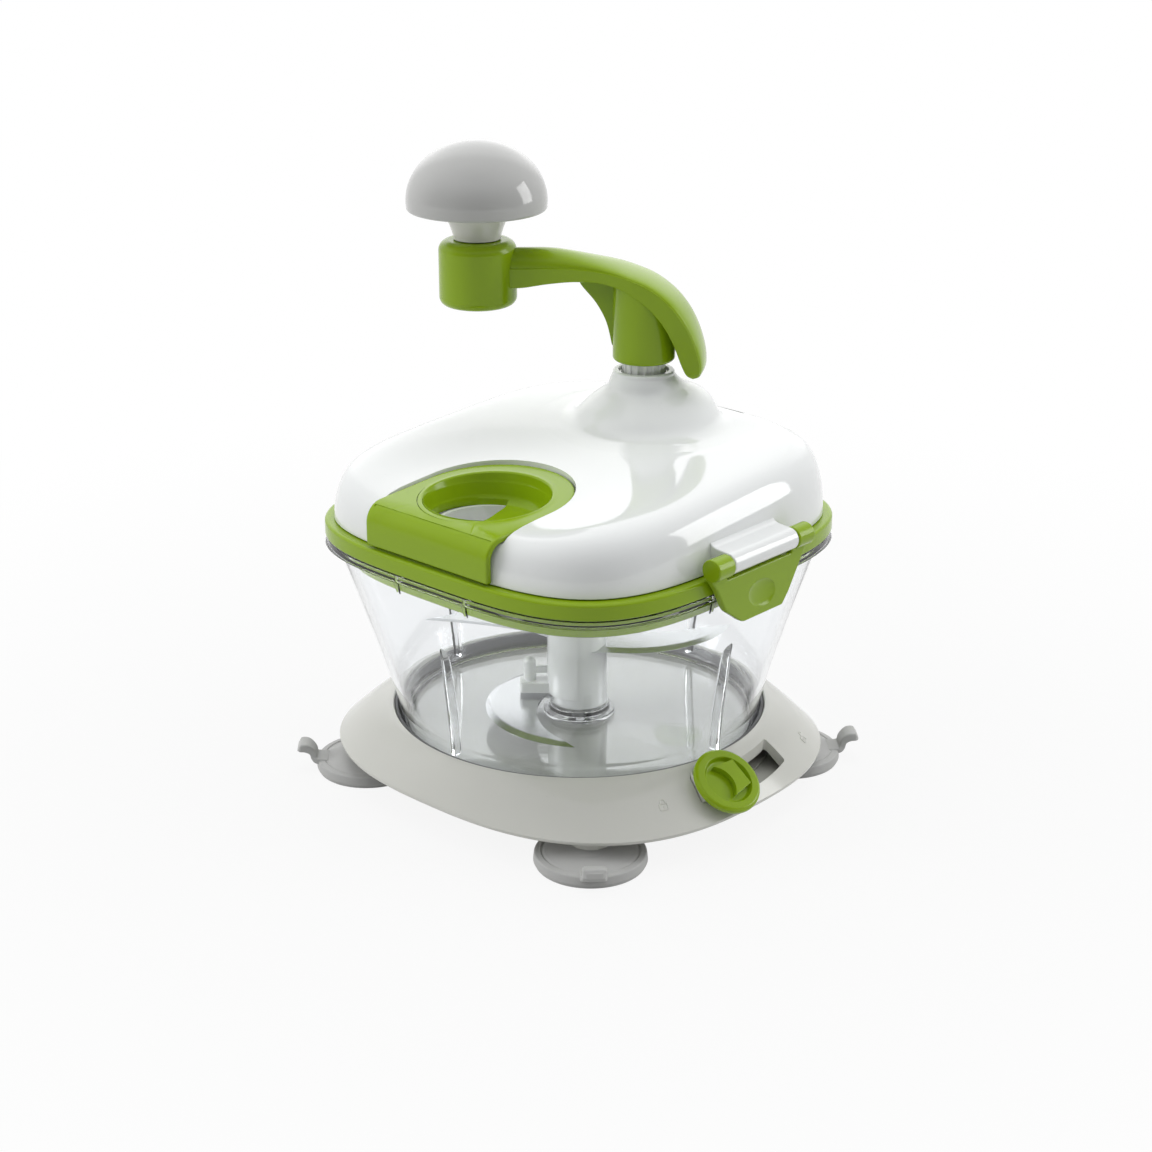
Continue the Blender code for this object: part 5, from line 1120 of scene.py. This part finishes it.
def add_hub():
    hub = lathe(chain([(0, HUB_HIGH[1], 0), (*HUB_HIGH, 1.0), (*HUB_LOW, 0.9), (0, HUB_LOW[1], 0)]))
    socket = prism(oval(HEX_R, HEX_R, count=6), HEX_LOW_Z, 110)
    cut(hub, rod(3.3, 20, PIN_TOP_Z, steps=40), socket)
    finish(hub, "blade_hub_moulding", "blades", "white_plastic", ["blade_hub"])
    low, high = CARRIER_Z
    sleeve = lathe(rounded([
        (hub_radius(high) + 0.1, high, 0.3),
        (hub_radius(high) + 1.6, high, 0.6),
        (hub_radius(low) + 1.6, low, 0.4),
        (hub_radius(low) + 0.1, low, 0.2),
    ]))
    cut(sleeve, block((-0.5, -30, 20), (30, 30, 120)))
    lug = rounded([(-24.6, -5.2, 1.6), (-11.9, -5.2, 0), (-11.9, 3.8, 0), (-24.6, 3.8, 1.6)])
    lug = soften(prism(lug, low, low + 4.6), 0.5)
    peg = lathe([(0, 50.0)] + arc((0, 47.4), 2.6, 78, 6, 8) + [(2.6, 47.0), (2.7, 38), (0, 38)], 48)
    rail = soften(block((PEG_X, -0.9, 42.6), (-11.9, 0.9, 45.6)), 0.35)
    join(sleeve, lug, shifted(peg, PEG_X), rail)
    turned(sleeve, CARRIER_FACING)
    finish(sleeve, "blade_sleeve", "blades", "white_plastic", ["blade_carrier"])


# Lid

# Half width, half depth, shift back, height and share of the lid's slope, up the bell
BELL = (
    (47.0, 40.0, 1.0, -0.15, 1.0),
    (41.0, 35.0, 1.0, 0.0, 1.0),
    (36.0, 31.0, 1.0, 0.5, 1.0),
    (31.0, 29.0, 2.0, 2.6, 1.0),
    (27.0, 27.0, 3.6, 6.4, 0.8),
    (23.4, 23.8, 4.6, 9.6, 0.5),
    (20.0, 20.4, 4.2, 12.0, 0.25),
    (16.4, 16.8, 2.4, 14.4, 0.1),
    (14.2, 14.3, 0.6, 17.6, 0.0),
    (12.9, 12.9, 0.0, 19.8, 0.0),
)


def cap_top(y):
    """Height of the cap's flat top over a place."""
    return CAP_Z + CAP_SLOPE * (y - CAP_Z_AT)


CAP_ROLL_Z = cap_top(CAP_BEND_Y) - CAP_ROLL


def cover_top(x, y):
    """Height of the lid's top over a point, shoulder and dip round the cap included."""
    rho = ((abs(x) ** COVER_POWER + abs(y) ** COVER_POWER) ** (1 / COVER_POWER)) / COVER_HALF
    rho = min(rho, 1.0)
    full = COVER_RISE + COVER_SLOPE * y + COVER_DOME * (1 - rho**2)
    out = (abs(x) if y < CAP_MIDDLE_Y else math.hypot(x, y - CAP_MIDDLE_Y)) - CAP_HALF
    near = 1 - min(max(out / LID_DIP, 0.0), 1.0)
    near = near * near * (3 - 2 * near)
    back = min(max((y - CAP_MIDDLE_Y) / CAP_HALF, 0.0), 1.0)
    seat = cap_top(y) + CAP_SINK[0] + (CAP_SINK[1] - CAP_SINK[0]) * back
    full -= near * max(0.0, COVER_Z + full - seat)
    return COVER_Z + full * (1 - rho**SHOULDER_OUT) ** (1 / SHOULDER_UP)


def shoulder_share(share):
    """How far out the lid's shoulder lies at a share of its height."""
    return (1 - share**SHOULDER_UP) ** (1 / SHOULDER_OUT)


def on_cover(outline, drop=0.0):
    return [(x, y, cover_top(x, y) - drop) for x, y in outline]


def bell_oval(row, inset=0.0):
    return oval(row[0] - inset, row[1] - inset, (0, CRANK_Y + row[2]))


def bell_ring(row, inset=0.0, drop=0.0):
    height, tilt = row[3:]
    flat = (1 - tilt) * cover_top(0, CRANK_Y)
    return [(x, y, tilt * cover_top(x, y) + flat - drop + height) for x, y in bell_oval(row, inset)]


def cover_skin():
    """Rings of the lid from its edge over the shoulder and up the bell to the neck."""
    rings = [level(square(COVER_HALF - 0.4, COVER_POWER), COVER_Z)]
    rings.append(level(square(COVER_HALF, COVER_POWER), COVER_Z + 0.4))
    for share in [0.04 + 0.92 * k / 18 for k in range(19)]:
        last = square(COVER_HALF * shoulder_share(share), COVER_POWER)
        rings.append(on_cover(last))
    bell = through(BELL, 44)
    rings += [on_cover(blend(last, bell_oval(bell[0]), k / 17)) for k in range(1, 17)]
    rings += [bell_ring(row) for row in bell]
    rings += [ring(r, z, (0, CRANK_Y)) for r, z in arc((11.9, NECK_TOP_Z - 0.9), 0.9, 0, 90, 5)]
    return rings


def cover_room():
    """Hollow of the lid, which follows its skin inside."""
    rings = []
    for share in (0.0, 0.3, 0.55, 0.75, 0.88, 0.95):
        edge = square((COVER_HALF - COVER_WALL) * shoulder_share(share), COVER_POWER)
        rings.append(on_cover(edge, 2.4 * share) if share else level(edge, COVER_Z - 1))
    rings += [on_cover(blend(edge, bell_oval(BELL[0]), k / 9), 2.6) for k in range(1, 9)]
    rings += [bell_ring(row, 2.2, 2.6) for row in BELL[2::2]]
    return loft(rings)


def cap_plan(grow_by):
    """Outline of the cap from above, run out past the lid's front."""
    half, front = CAP_HALF + grow_by, CAP_FRONT_Y - 6
    return arc((0, CAP_MIDDLE_Y), half, 0, 180, 72) + [(-half, front), (half, front)]


def above_cap_skin(offset):
    """Slab over the cap's skin, set down by an offset: sloped top, rolled front, flap."""
    back = CAP_BACK_Y + 8
    side = [(back, cap_top(back) - offset)]
    side += arc((CAP_BEND_Y, CAP_ROLL_Z), CAP_ROLL - offset, 94, 180, 24)
    side += [(CAP_FRONT_Y + offset, 100), (CAP_FRONT_Y - 8, 100), (CAP_FRONT_Y - 8, 175), (back, 175)]
    return across_x(side, -40, 40)


def chute_outline(grow_by):
    return oval(CHUTE_HALF[0] + grow_by, CHUTE_HALF[1] + grow_by, (0, CHUTE_Y), 96)


def dish_room():
    """Room that the cap's dish hangs in."""
    rings = []
    for z, grow_by in ((DISH_FLOOR_Z - 2.2, -1.2), (CAP_Z - 5, 0.4), (CAP_Z - 1.5, 2.4), (160, 2.4)):
        rings.append(level(oval(DISH_HALF[0] + grow_by, DISH_HALF[1] + grow_by, (0, DISH_Y), 96), z))
    return loft(rings)


def hinge_barrel(sign):
    """Barrel that the latch hangs on, blended back into the lid's wall."""
    back = COVER_HALF - 1.2
    top = BARREL_AT[1] + BARREL_R
    outline = arc(BARREL_AT, BARREL_R, -90, 86, 28)
    outline += [(back + 3.0, top + 0.5), (back + 1.2, top + 1.1), (back, top + 2.2)]
    outline.append((back, BARREL_AT[1] - BARREL_R))
    barrel = across_y([(sign * x, z) for x, z in outline], -BARREL_HALF, BARREL_HALF)
    return soften(barrel, 0.6, 3, 60)


def rod_along_y(radius, half, steps):
    return turned(rod(radius, -half, half, steps=steps), 90, "X")


def add_cover():
    cover = loft(cover_skin())
    hollow = cover_room()
    well = prism(cap_plan(2.8), 117.6, 160)
    chute = prism(chute_outline(CHUTE_WALL), 111.2, 125)
    side = CAP_HALF + 2.2
    apron = block((-side, CAP_FRONT_Y - 2, 112), (side, CAP_FRONT_Y + 5.2, 122))
    cut(hollow, well, chute, apron)
    cut(cover, hollow)
    under = CAP_T + CAP_GAP
    pocket = keep_inside(above_cap_skin(under), prism(cap_plan(CAP_GAP), 90, 180))
    neck = rod(10.5, 140, 175, (0, CRANK_Y), 72)
    side = CAP_HALF + 1.9
    groove = block((-side, CAP_FRONT_Y - 4, 100), (side, CAP_BEND_Y - 1.5, 150))
    cut(cover, pocket, keep_inside(above_cap_skin(under), groove), dish_room(), neck)
    join(cover, prism(chute_outline(CHUTE_WALL), PLATE_Z + 0.3, 122.0))
    cut(cover, prism(chute_outline(0), 100, 160))
    for sign in (-1, 1):
        join(cover, hinge_barrel(sign))
    cut(cover, *[shifted(rod_along_y(1.65, 40, 24), sign * LATCH_X, 0, LATCH_Z) for sign in (-1, 1)])
    finish(cover, "lid_cover_moulding", "lid", "white_plastic", ["lid_cover"], sharp=38)


def add_lid_plate():
    inside, rim = COVER_HALF - 3.3, PLATE_HALF - 1.9
    section = chain([
        (inside, PLATE_TOP_Z, 0.3),
        (PLATE_HALF, PLATE_TOP_Z, 1.3),
        (PLATE_HALF, BOWL_TOP_Z + 0.4, 0.8),
        (rim, BOWL_TOP_Z + 0.4, 0.2),
        (rim, PLATE_Z, 0.2),
        (PLATE_HALF - 5, PLATE_Z, 0),
    ])
    rings = [level(square(half, PLATE_POWER), z) for half, z in section[:-1]]
    rings += [bowl_ring(z, SKIRT_INSET) for z in (PLATE_Z, 105.5, 103, 100.5, 98.2, 97.2)]
    rings.append(level(bowl_outline(96.7, SKIRT_INSET + 0.4), 96.75))
    rings.append(bowl_ring(96.6, SKIRT_INSET + 0.9))
    plate = loft(rings)
    above = prism(square(inside - 1.6, PLATE_POWER), 110.6, 120)
    room = SKIRT_INSET + SKIRT_WALL
    below = [bowl_ring(z, room) for z in (92, 96.6, 100.5, 104.5)]
    below.append(level(bowl_outline(BOWL_TOP_Z, room), PLATE_Z))
    holes = [prism(chute_outline(CHUTE_WALL + 0.15), 90, 130)]
    holes += [rod(6.6, 90, 120), rod(3.3, 90, 120, (0, CRANK_Y))]
    holes += [rod(1.9, 90, 120, spot, 24) for spot in COVER_SCREWS + BRIDGE_SCREWS]
    cut(plate, above, loft(below), *holes)
    finish(plate, "lid_plate_moulding", "lid", "green_plastic", ["lid_plate"], sharp=30)


def add_lid_seal():
    outer = square(PLATE_HALF - 3.8, BOWL_POWER)
    inner = square(BOWL_HALF - BOWL_WALL + 0.4, BOWL_POWER)
    low, high = BOWL_TOP_Z + 0.3, PLATE_Z - 0.3
    rings = [level(inner, low), level(outer, low), level(outer, high), level(inner, high)]
    finish(loft(rings, closed=True), "lid_gasket", "lid", "dark_rubber", ["lid_seal"])


# Feed cap


def cap_sheet(x, y, offset):
    """Place on the cap's skin, where y runs on over its roll and down its flap."""
    if y > CAP_BEND_Y:
        return (x, y, cap_top(y) + offset)
    along = CAP_BEND_Y - y
    if along < CAP_ROLL * CAP_BEND:
        angle = math.radians(94) + along / CAP_ROLL
        reach = CAP_ROLL + offset
        return (x, CAP_BEND_Y + reach * math.cos(angle), CAP_ROLL_Z + reach * math.sin(angle))
    return (x, CAP_FRONT_Y - offset, CAP_ROLL_Z - (along - CAP_ROLL * CAP_BEND))


def cap_ring(outline, offset):
    return [cap_sheet(x, y, offset) for x, y in outline]


def cap_border(inset):
    """U-shaped border of the unrolled cap, with rounded front corners."""
    length = (CAP_ROLL_Z - FLAP_Z) + CAP_ROLL * CAP_BEND
    front = CAP_BEND_Y - length + inset
    half = CAP_HALF - inset
    corners = [(half, CAP_MIDDLE_Y, 0)] + [(x, y, 0) for x, y in arc((0, CAP_MIDDLE_Y), half, 3, 177, 58)]
    corners += [(-half, CAP_MIDDLE_Y, 0)]
    side = [CAP_MIDDLE_Y + (front - CAP_MIDDLE_Y) * k / 26 for k in range(1, 26)]
    corners += [(-half, y, 0) for y in side] + [(-half, front, 2.2)]
    corners += [(-half + 2 * half * k / 30, front, 0) for k in range(2, 29)]
    corners += [(half, front, 2.2)] + [(half, y, 0) for y in reversed(side)]
    return rounded(corners)


def dish_ring(border, half_x, half_y):
    """Oval round the dish's middle, one point for each point of the border."""
    points = []
    for x, y in border:
        angle = math.atan2((y - DISH_Y) / half_y, x / half_x)
        points.append((half_x * math.cos(angle), DISH_Y + half_y * math.sin(angle)))
    return points


def dish_levels(border, rows):
    """Level rings of the dish's shape, one for each half width and height."""
    wide, deep = DISH_HALF
    return [level(dish_ring(border, r, r * deep / wide), z) for r, z in rows]


def cap_rings():
    """Rings from the dish's floor over its rim and the cap's edge, and back underneath."""
    wide, deep = DISH_HALF
    border = cap_border(0)
    rings = dish_levels(border, chain([
        (0.5, DISH_FLOOR_Z, 0),
        (DISH_FLOOR_HALF, DISH_FLOOR_Z, 5.0),
        (wide - 1.2, CAP_Z - 2.4, 2.0),
        (wide - 0.8, CAP_Z - 1.3, 0),
    ]))
    for out, lift in arc((0.4, -0.7), 0.9, 168, 90, 6):
        rings.append(cap_ring(dish_ring(border, wide + out, deep + out), lift))
    edge = dish_ring(border, wide + 1.4, deep + 1.4)
    rings.append(cap_ring(edge, 0.08))
    rings += [cap_ring(blend(edge, cap_border(1.6), k / 6), 0.02) for k in range(1, 6)]
    for inset, offset in [(1.6, 0.0)] + [(0.9 - x, z - 0.9) for x, z in arc((0, 0), 0.9, 90, 0, 5)]:
        rings.append(cap_ring(cap_border(max(0.0, inset)), offset))
    rings.append(cap_ring(border, -CAP_T + 0.3))
    rings.append(cap_ring(cap_border(0.3), -CAP_T))
    under = dish_ring(border, wide + 0.6, deep + 0.6)
    rings += [cap_ring(blend(cap_border(0.6), under, k / 4), -CAP_T) for k in range(5)]
    return rings + dish_levels(border, (
        (wide - 0.6, CAP_Z - 4.6),
        (DISH_FLOOR_HALF + 1.0, DISH_FLOOR_Z + 0.2),
        (DISH_FLOOR_HALF - 1.4, DISH_FLOOR_Z - 1.6),
        (0.5, DISH_FLOOR_Z - 1.6),
    ))


def crease_solid():
    """Thin line across the cap where its roll starts."""
    turn = math.radians(123)
    corners = []
    for reach, aside in ((-0.35, -0.6), (-0.35, 0.6), (3, 0.9), (3, -0.9)):
        far = CAP_ROLL + reach
        corners.append((
            CAP_BEND_Y + far * math.cos(turn) - aside * math.sin(turn),
            CAP_ROLL_Z + far * math.sin(turn) + aside * math.cos(turn),
        ))
    return across_x(corners, -CAP_HALF + 1.6, CAP_HALF - 1.6)


def add_feed_cap():
    wide = DISH_HALF[0]
    cap = loft(cap_rings())
    mouth = [(x * 23.4, DISH_Y + y * 22.4) for x, y in arc((0, 0), 1, 112, 246, 48)]
    mouth += [(-9.4, -71.0), (-9.0, -66.0), (-7.2, -61.0), (-4.4, -56.5)]
    mouth += [(-3.0, -53.0), (-3.4, -49.0), (-5.6, -42.5)]
    mouth = prism(mouth, DISH_FLOOR_Z - 6, CAP_Z - 4.6)
    crescent = arc((0, DISH_Y), wide + 1.5, 198, 300, 48)
    crescent += arc((0.6, DISH_Y + 0.9), wide + 2.2, 300, 198, 48)
    cut(cap, mouth, prism(crescent, CAP_Z - 2.2, CAP_Z + 4), crease_solid())
    finish(cap, "feed_cap_moulding", "cap", "green_plastic", ["feed_cap"], sharp=40)


# Latches


def add_latch(sign, name):
    notch = BARREL_HALF + 0.4
    outline = rounded([
        (EAR_OUT, EAR_AT[1], 0),
        (EAR_OUT, 114.4, 2.5),
        (26.4, 109.4, 4.0),
        (19.0, 97.6, 1.5),
        (15.0, 92.9, 1.5),
        (-9.8, 92.9, 6.0),
        (-20.4, 100.4, 7.0),
        (-26.0, 110.4, 4.0),
        (-EAR_OUT, 115.0, 2.5),
        (-EAR_OUT, EAR_AT[1], 0),
        (-notch, EAR_AT[1], 0),
        (-notch, 113.1, 0.8),
        (notch, 113.1, 0.8),
        (notch, EAR_AT[1], 0),
    ])
    low, high = sorted((sign * LATCH_FACE_X, sign * (LATCH_FACE_X + LATCH_T)))
    latch = soften(across_x(outline, low, high), 0.7, 3, 50)
    for side in (-1, 1):
        ear = soften(rod(EAR_R, (notch - EAR_OUT) / 2, (EAR_OUT - notch) / 2, steps=56), 0.6, 3, 50)
        turned(ear, 90, "X")
        join(latch, shifted(ear, sign * EAR_AT[0], side * (EAR_OUT + notch) / 2, EAR_AT[1]))
    low, high = sorted((sign * (FLANGE_HALF + HOOK_GAP), sign * (LATCH_FACE_X + 1)))
    join(latch, soften(block((low, -10, FLANGE_Z - 5), (high, 10, FLANGE_Z - 0.8)), 0.3, 2))
    steps = [math.pi * k / 16 for k in range(1, 16)]
    dimple = lathe([(0, 1.5)] + [(7.2 * math.sin(a), 1.5 * math.cos(a)) for a in steps] + [(0, -1.5)], 64)
    turn = Matrix.Rotation(math.pi / 2, 4, "Y") @ Matrix.Rotation(math.radians(-14), 4, "Z")
    moved(dimple, turn @ Matrix.Diagonal((0.8, 1.25, 1, 1)))
    cut(latch, shifted(dimple, sign * (LATCH_FACE_X + LATCH_T + 0.3), 1.6, 102))
    finish(latch, name + "_moulding", name, "green_plastic", [name])


# Crank

# Foot and crease of the arm's side wall in (x, z), half width and crown height
STATIONS = (
    (58.0, 198.6, 58.0, 206.6, 6.5, 7.4),
    (50.0, 198.9, 50.0, 206.9, 7.0, 7.4),
    (39.0, 201.2, 39.5, 207.8, 8.4, 6.7),
    (28.0, 202.8, 29.6, 208.2, 9.6, 5.6),
    (17.5, 203.0, 20.0, 208.0, 10.9, 4.3),
    (9.0, 201.3, 11.6, 207.0, 12.5, 3.2),
    (2.4, 198.0, 4.6, 205.2, 13.4, 2.4),
    (-2.8, 194.2, -3.2, 202.0, 13.5, 2.1),
    (-7.6, 189.2, -10.4, 196.8, 13.5, 2.1),
    (-11.6, 183.2, -16.2, 190.2, 13.3, 2.1),
    (-14.4, 176.8, -20.4, 182.8, 12.2, 2.0),
    (-16.6, 170.6, -23.2, 174.6, 11.2, 1.8),
    (-18.6, 165.8, -24.2, 168.0, 9.4, 1.4),
    (-21.0, 163.8, -23.4, 164.6, 7.2, 0.8),
)


def arm_wall(row):
    """Foot and crease of the arm's middle plane, and the way from one to the other."""
    low, crease = Vector((row[0], 0, row[1])), Vector((row[2], 0, row[3]))
    return low, crease, (crease - low).normalized()


def arm_section(row):
    """Side walls up to the crease, then a rounded crown set a little in."""
    low, crease, up = arm_wall(row)
    half, crown = row[4:]
    out = Vector((0, 1, 0))
    left = [
        low - out * (half - 0.6),
        low + up * 0.2 - out * (half - 0.15),
        low + up * 0.7 - out * half,
        crease - up * 0.35 - out * half,
        crease - out * (half - 0.12),
        crease + up * 0.12 - out * (half - 0.45),
    ]
    top = []
    for angle in [math.pi * k / 28 for k in range(1, 28)]:
        rise, aside = 0.15 + crown * math.sin(angle) ** 0.9, (half - 0.5) * math.cos(angle)
        top.append(crease + up * rise - out * aside)
    return left + top + [Vector((p.x, -p.y, p.z)) for p in reversed(left)]


def arm_channel():
    """Hollow under the arm."""
    rings = []
    for row in through(STATIONS[4:13], 40):
        low, crease, up = arm_wall(row)
        start, top, side = low - 4 * up, crease - 0.6 * up, Vector((0, row[4] - 2.2, 0))
        rings.append([start - side, top - side, top + side, start + side])
    return loft(rings)


def crank_hub():
    """Upright hub whose slanted top ends inside the arm."""
    foot = chain([(CRANK_HUB_R - 4, CRANK_HUB_Z, 0), (CRANK_HUB_R, CRANK_HUB_Z, 1.6), (CRANK_HUB_R, 180, 0)])
    rings = [ring(r, z, count=TURNS) for r, z in foot]
    rings.append([(x, y, 197.8 + 0.6 * x) for x, y in oval(CRANK_HUB_R, CRANK_HUB_R, count=TURNS)])
    return loft(rings)


def crank_fin():
    """Thin curved fin between the hub and the arm."""
    edge = through([(28.0, 204.5), (26.0, 200.0), (20.0, 193.0), (15.6, 185.0), (13.2, 175.5)], 24)
    return across_y([(CRANK_HUB_R - 1, 204.5)] + edge + [(CRANK_HUB_R - 1, 174.0)], -1.2, 1.2)


def add_crank_arm():
    arm = loft([arm_section(row) for row in through(STATIONS, 78)])
    low, high = KNOB_HUB_Z
    knob_hub = lathe(rounded([
        (3.3, high, 0.3),
        (KNOB_HUB_R, high, 4.4),
        (KNOB_HUB_R, low, 3.6),
        (6.2, low, 0.4),
        (6.2, low + 3.2, 0),
        (3.3, low + 3.2, 0),
    ]))
    channel = cut(arm_channel(), crank_hub(), crank_fin())
    join(arm, crank_hub(), shifted(knob_hub, CRANK_R), crank_fin())
    bore = rod(SPINDLE_R + 0.65, CRANK_HUB_Z - 1, CRANK_HUB_Z + 15.6, steps=72)
    cut(arm, channel, bore)
    moved(arm, Matrix.Translation((0, CRANK_Y, 0)) @ Matrix.Rotation(CRANK_REST, 4, "Z"))
    finish(arm, "crank_arm_moulding", "crank", "green_plastic", ["crank_arm"], sharp=28)


def add_knob():
    low, top = DOME_Z
    middle = low + 3.5
    steps = [math.pi / 2 * (1 - k / 40) for k in range(1, 41)]
    crown = [(DOME_R * math.cos(a), middle + (top - middle) * math.sin(a)) for a in steps]
    skirt = chain([
        (DOME_R, middle, 0),
        (DOME_R - 0.25, low, 1.3),
        (8.6, low, 0.3),
        (8.6, low + 9, 0),
        (KNOB_BORE, low + 9, 0),
        (KNOB_BORE, low + 17, 0),
    ])
    dome = lathe([(0, top)] + crown + skirt[1:] + [(0, low + 17)], 128)
    finish(shifted(dome, *KNOB_AT), "knob_dome_moulding", "knob", "knob_plastic", ["knob_dome"])
    foot_z = 218.6
    rows = [(14.6, low - 0.3), (13.5, low - 2.2), (11.6, low - 5.6), (10.3, low - 9.2), (NECK_FOOT_R, foot_z)]
    foot = chain([(NECK_FOOT_R, foot_z, 0), (NECK_FOOT_R, 217.5, 0.4), (KNOB_BORE, 217.5, 0)])
    neck = lathe([(KNOB_BORE, low - 0.3)] + through(rows, 24) + foot[1:])
    finish(shifted(neck, *KNOB_AT), "knob_neck_moulding", "knob", "grey_white_plastic", ["knob_neck"])


# Carried-over nodes, floor, lights and camera


def dress_frame():
    """Gives every CAD node that stays in view its own finish."""
    slots = {part["node"]: part["material_slot"] for part in frame["record"]["subparts"]}
    for name, node in frame["nodes"].items():
        node.data.materials.clear()
        node.data.materials.append(LOOKS[slots[name]])


def background_rays(recipe):
    """1 for rays that see the studio, also through the clear bowl, and 1 for mirrored rays."""
    kinds = ("Camera", "Glossy", "Transmission")
    rays = [recipe.node("ShaderNodeLightPath", output=f"Is {kind} Ray") for kind in kinds]
    seen, mirrored, through_clear = rays
    return seen.or_more(through_clear), mirrored


def floor_material():
    """Matt white paper that keeps the shadow near the object and runs out to plain white."""
    made, recipe = new_material("studio floor")
    here = recipe.place()
    tone = recipe.tint(recipe.noise(here, 3, 2), rgb((0.62, 0.62, 0.615)), rgb((0.64, 0.64, 0.635)))
    matt = recipe.node("ShaderNodeBsdfDiffuse", {"Color": tone})
    seen, mirrored = background_rays(recipe)
    away = recipe.node("ShaderNodeVectorMath", {0: here}, 1, operation="LENGTH")
    share = seen.or_more(mirrored) * recipe.ease(away, 0.12, 0.55, FLOOR_GLOW, 1.0)
    glow = recipe.node("ShaderNodeEmission", {"Color": rgb((1.0, 1.0, 1.0)), "Strength": 1.0})
    recipe.end("ShaderNodeOutputMaterial", recipe.mix(share, matt, glow))
    return made


def add_floor():
    floor = prism(oval(9000, 9000, count=64), -20, 0)
    floor.data.transform(Matrix.Scale(MM, 4))
    floor.name = "studio_floor"
    floor.data.materials.append(floor_material())


def add_world():
    """White sweep and a brighter panel behind the object, a dimmer room on the camera's side."""
    world = bpy.data.worlds.new("studio")
    bpy.context.scene.world = world
    world.use_nodes = True
    world.node_tree.nodes.clear()
    recipe = Recipe(world.node_tree)
    seen, mirrored = background_rays(recipe)
    heading = recipe.node("ShaderNodeTexCoord", output="Generated")
    sweep = recipe.ease(recipe.along(heading, SWEEP_WAY), -0.35, 0.35, 0.12, 1.0)
    panel = mirrored * recipe.ease(recipe.along(heading, PANEL_WAY), 0.76, 0.92)
    overhead = recipe.ease(recipe.along(heading, (0, 0, 1)), 0.25, 0.85, 0.14, 0.9)
    room = recipe.node("ShaderNodeBackground", {"Color": rgb((0.98, 0.99, 1.0)), "Strength": overhead})
    strength = panel * PANEL_GLOW + 1.0
    white = recipe.node("ShaderNodeBackground", {"Color": rgb((1, 1, 1)), "Strength": strength})
    share = seen.or_more(mirrored * sweep).or_more(panel)
    recipe.end("ShaderNodeOutputWorld", recipe.mix(share, room, white))


def add_lights():
    for name, place, size, power, mirrored in LAMPS:
        light = bpy.data.lights.new(name, "AREA")
        light.shape = "RECTANGLE"
        light.size, light.size_y = size
        light.energy = power
        lamp = put(name, light)
        lamp.location = place
        lamp.visible_glossy = mirrored
        lamp.rotation_euler = (Vector(LAMP_TARGET) - Vector(place)).to_track_quat("-Z", "Y").to_euler()


def add_camera():
    camera = put("camera", bpy.data.cameras.new("camera"))
    camera.location = CAMERA_AT
    camera.rotation_euler = CAMERA_TURN
    camera.data.sensor_width = 36.0
    camera.data.lens = CAMERA_LENS
    bpy.context.scene.camera = camera


dress_frame()
add_base()
add_pictograms()
add_seat_ring()
add_cups()
add_lever_knob()
add_bowl()
add_blades()
add_hub()
add_lid_plate()
add_lid_seal()
add_cover()
add_feed_cap()
add_latch(1, "latch_right")
add_latch(-1, "latch_left")
add_spindle()
add_crank_arm()
add_knob()
add_screws()
add_floor()
add_world()
add_lights()
add_camera()
bpy.context.scene.view_settings.view_transform = "Standard"
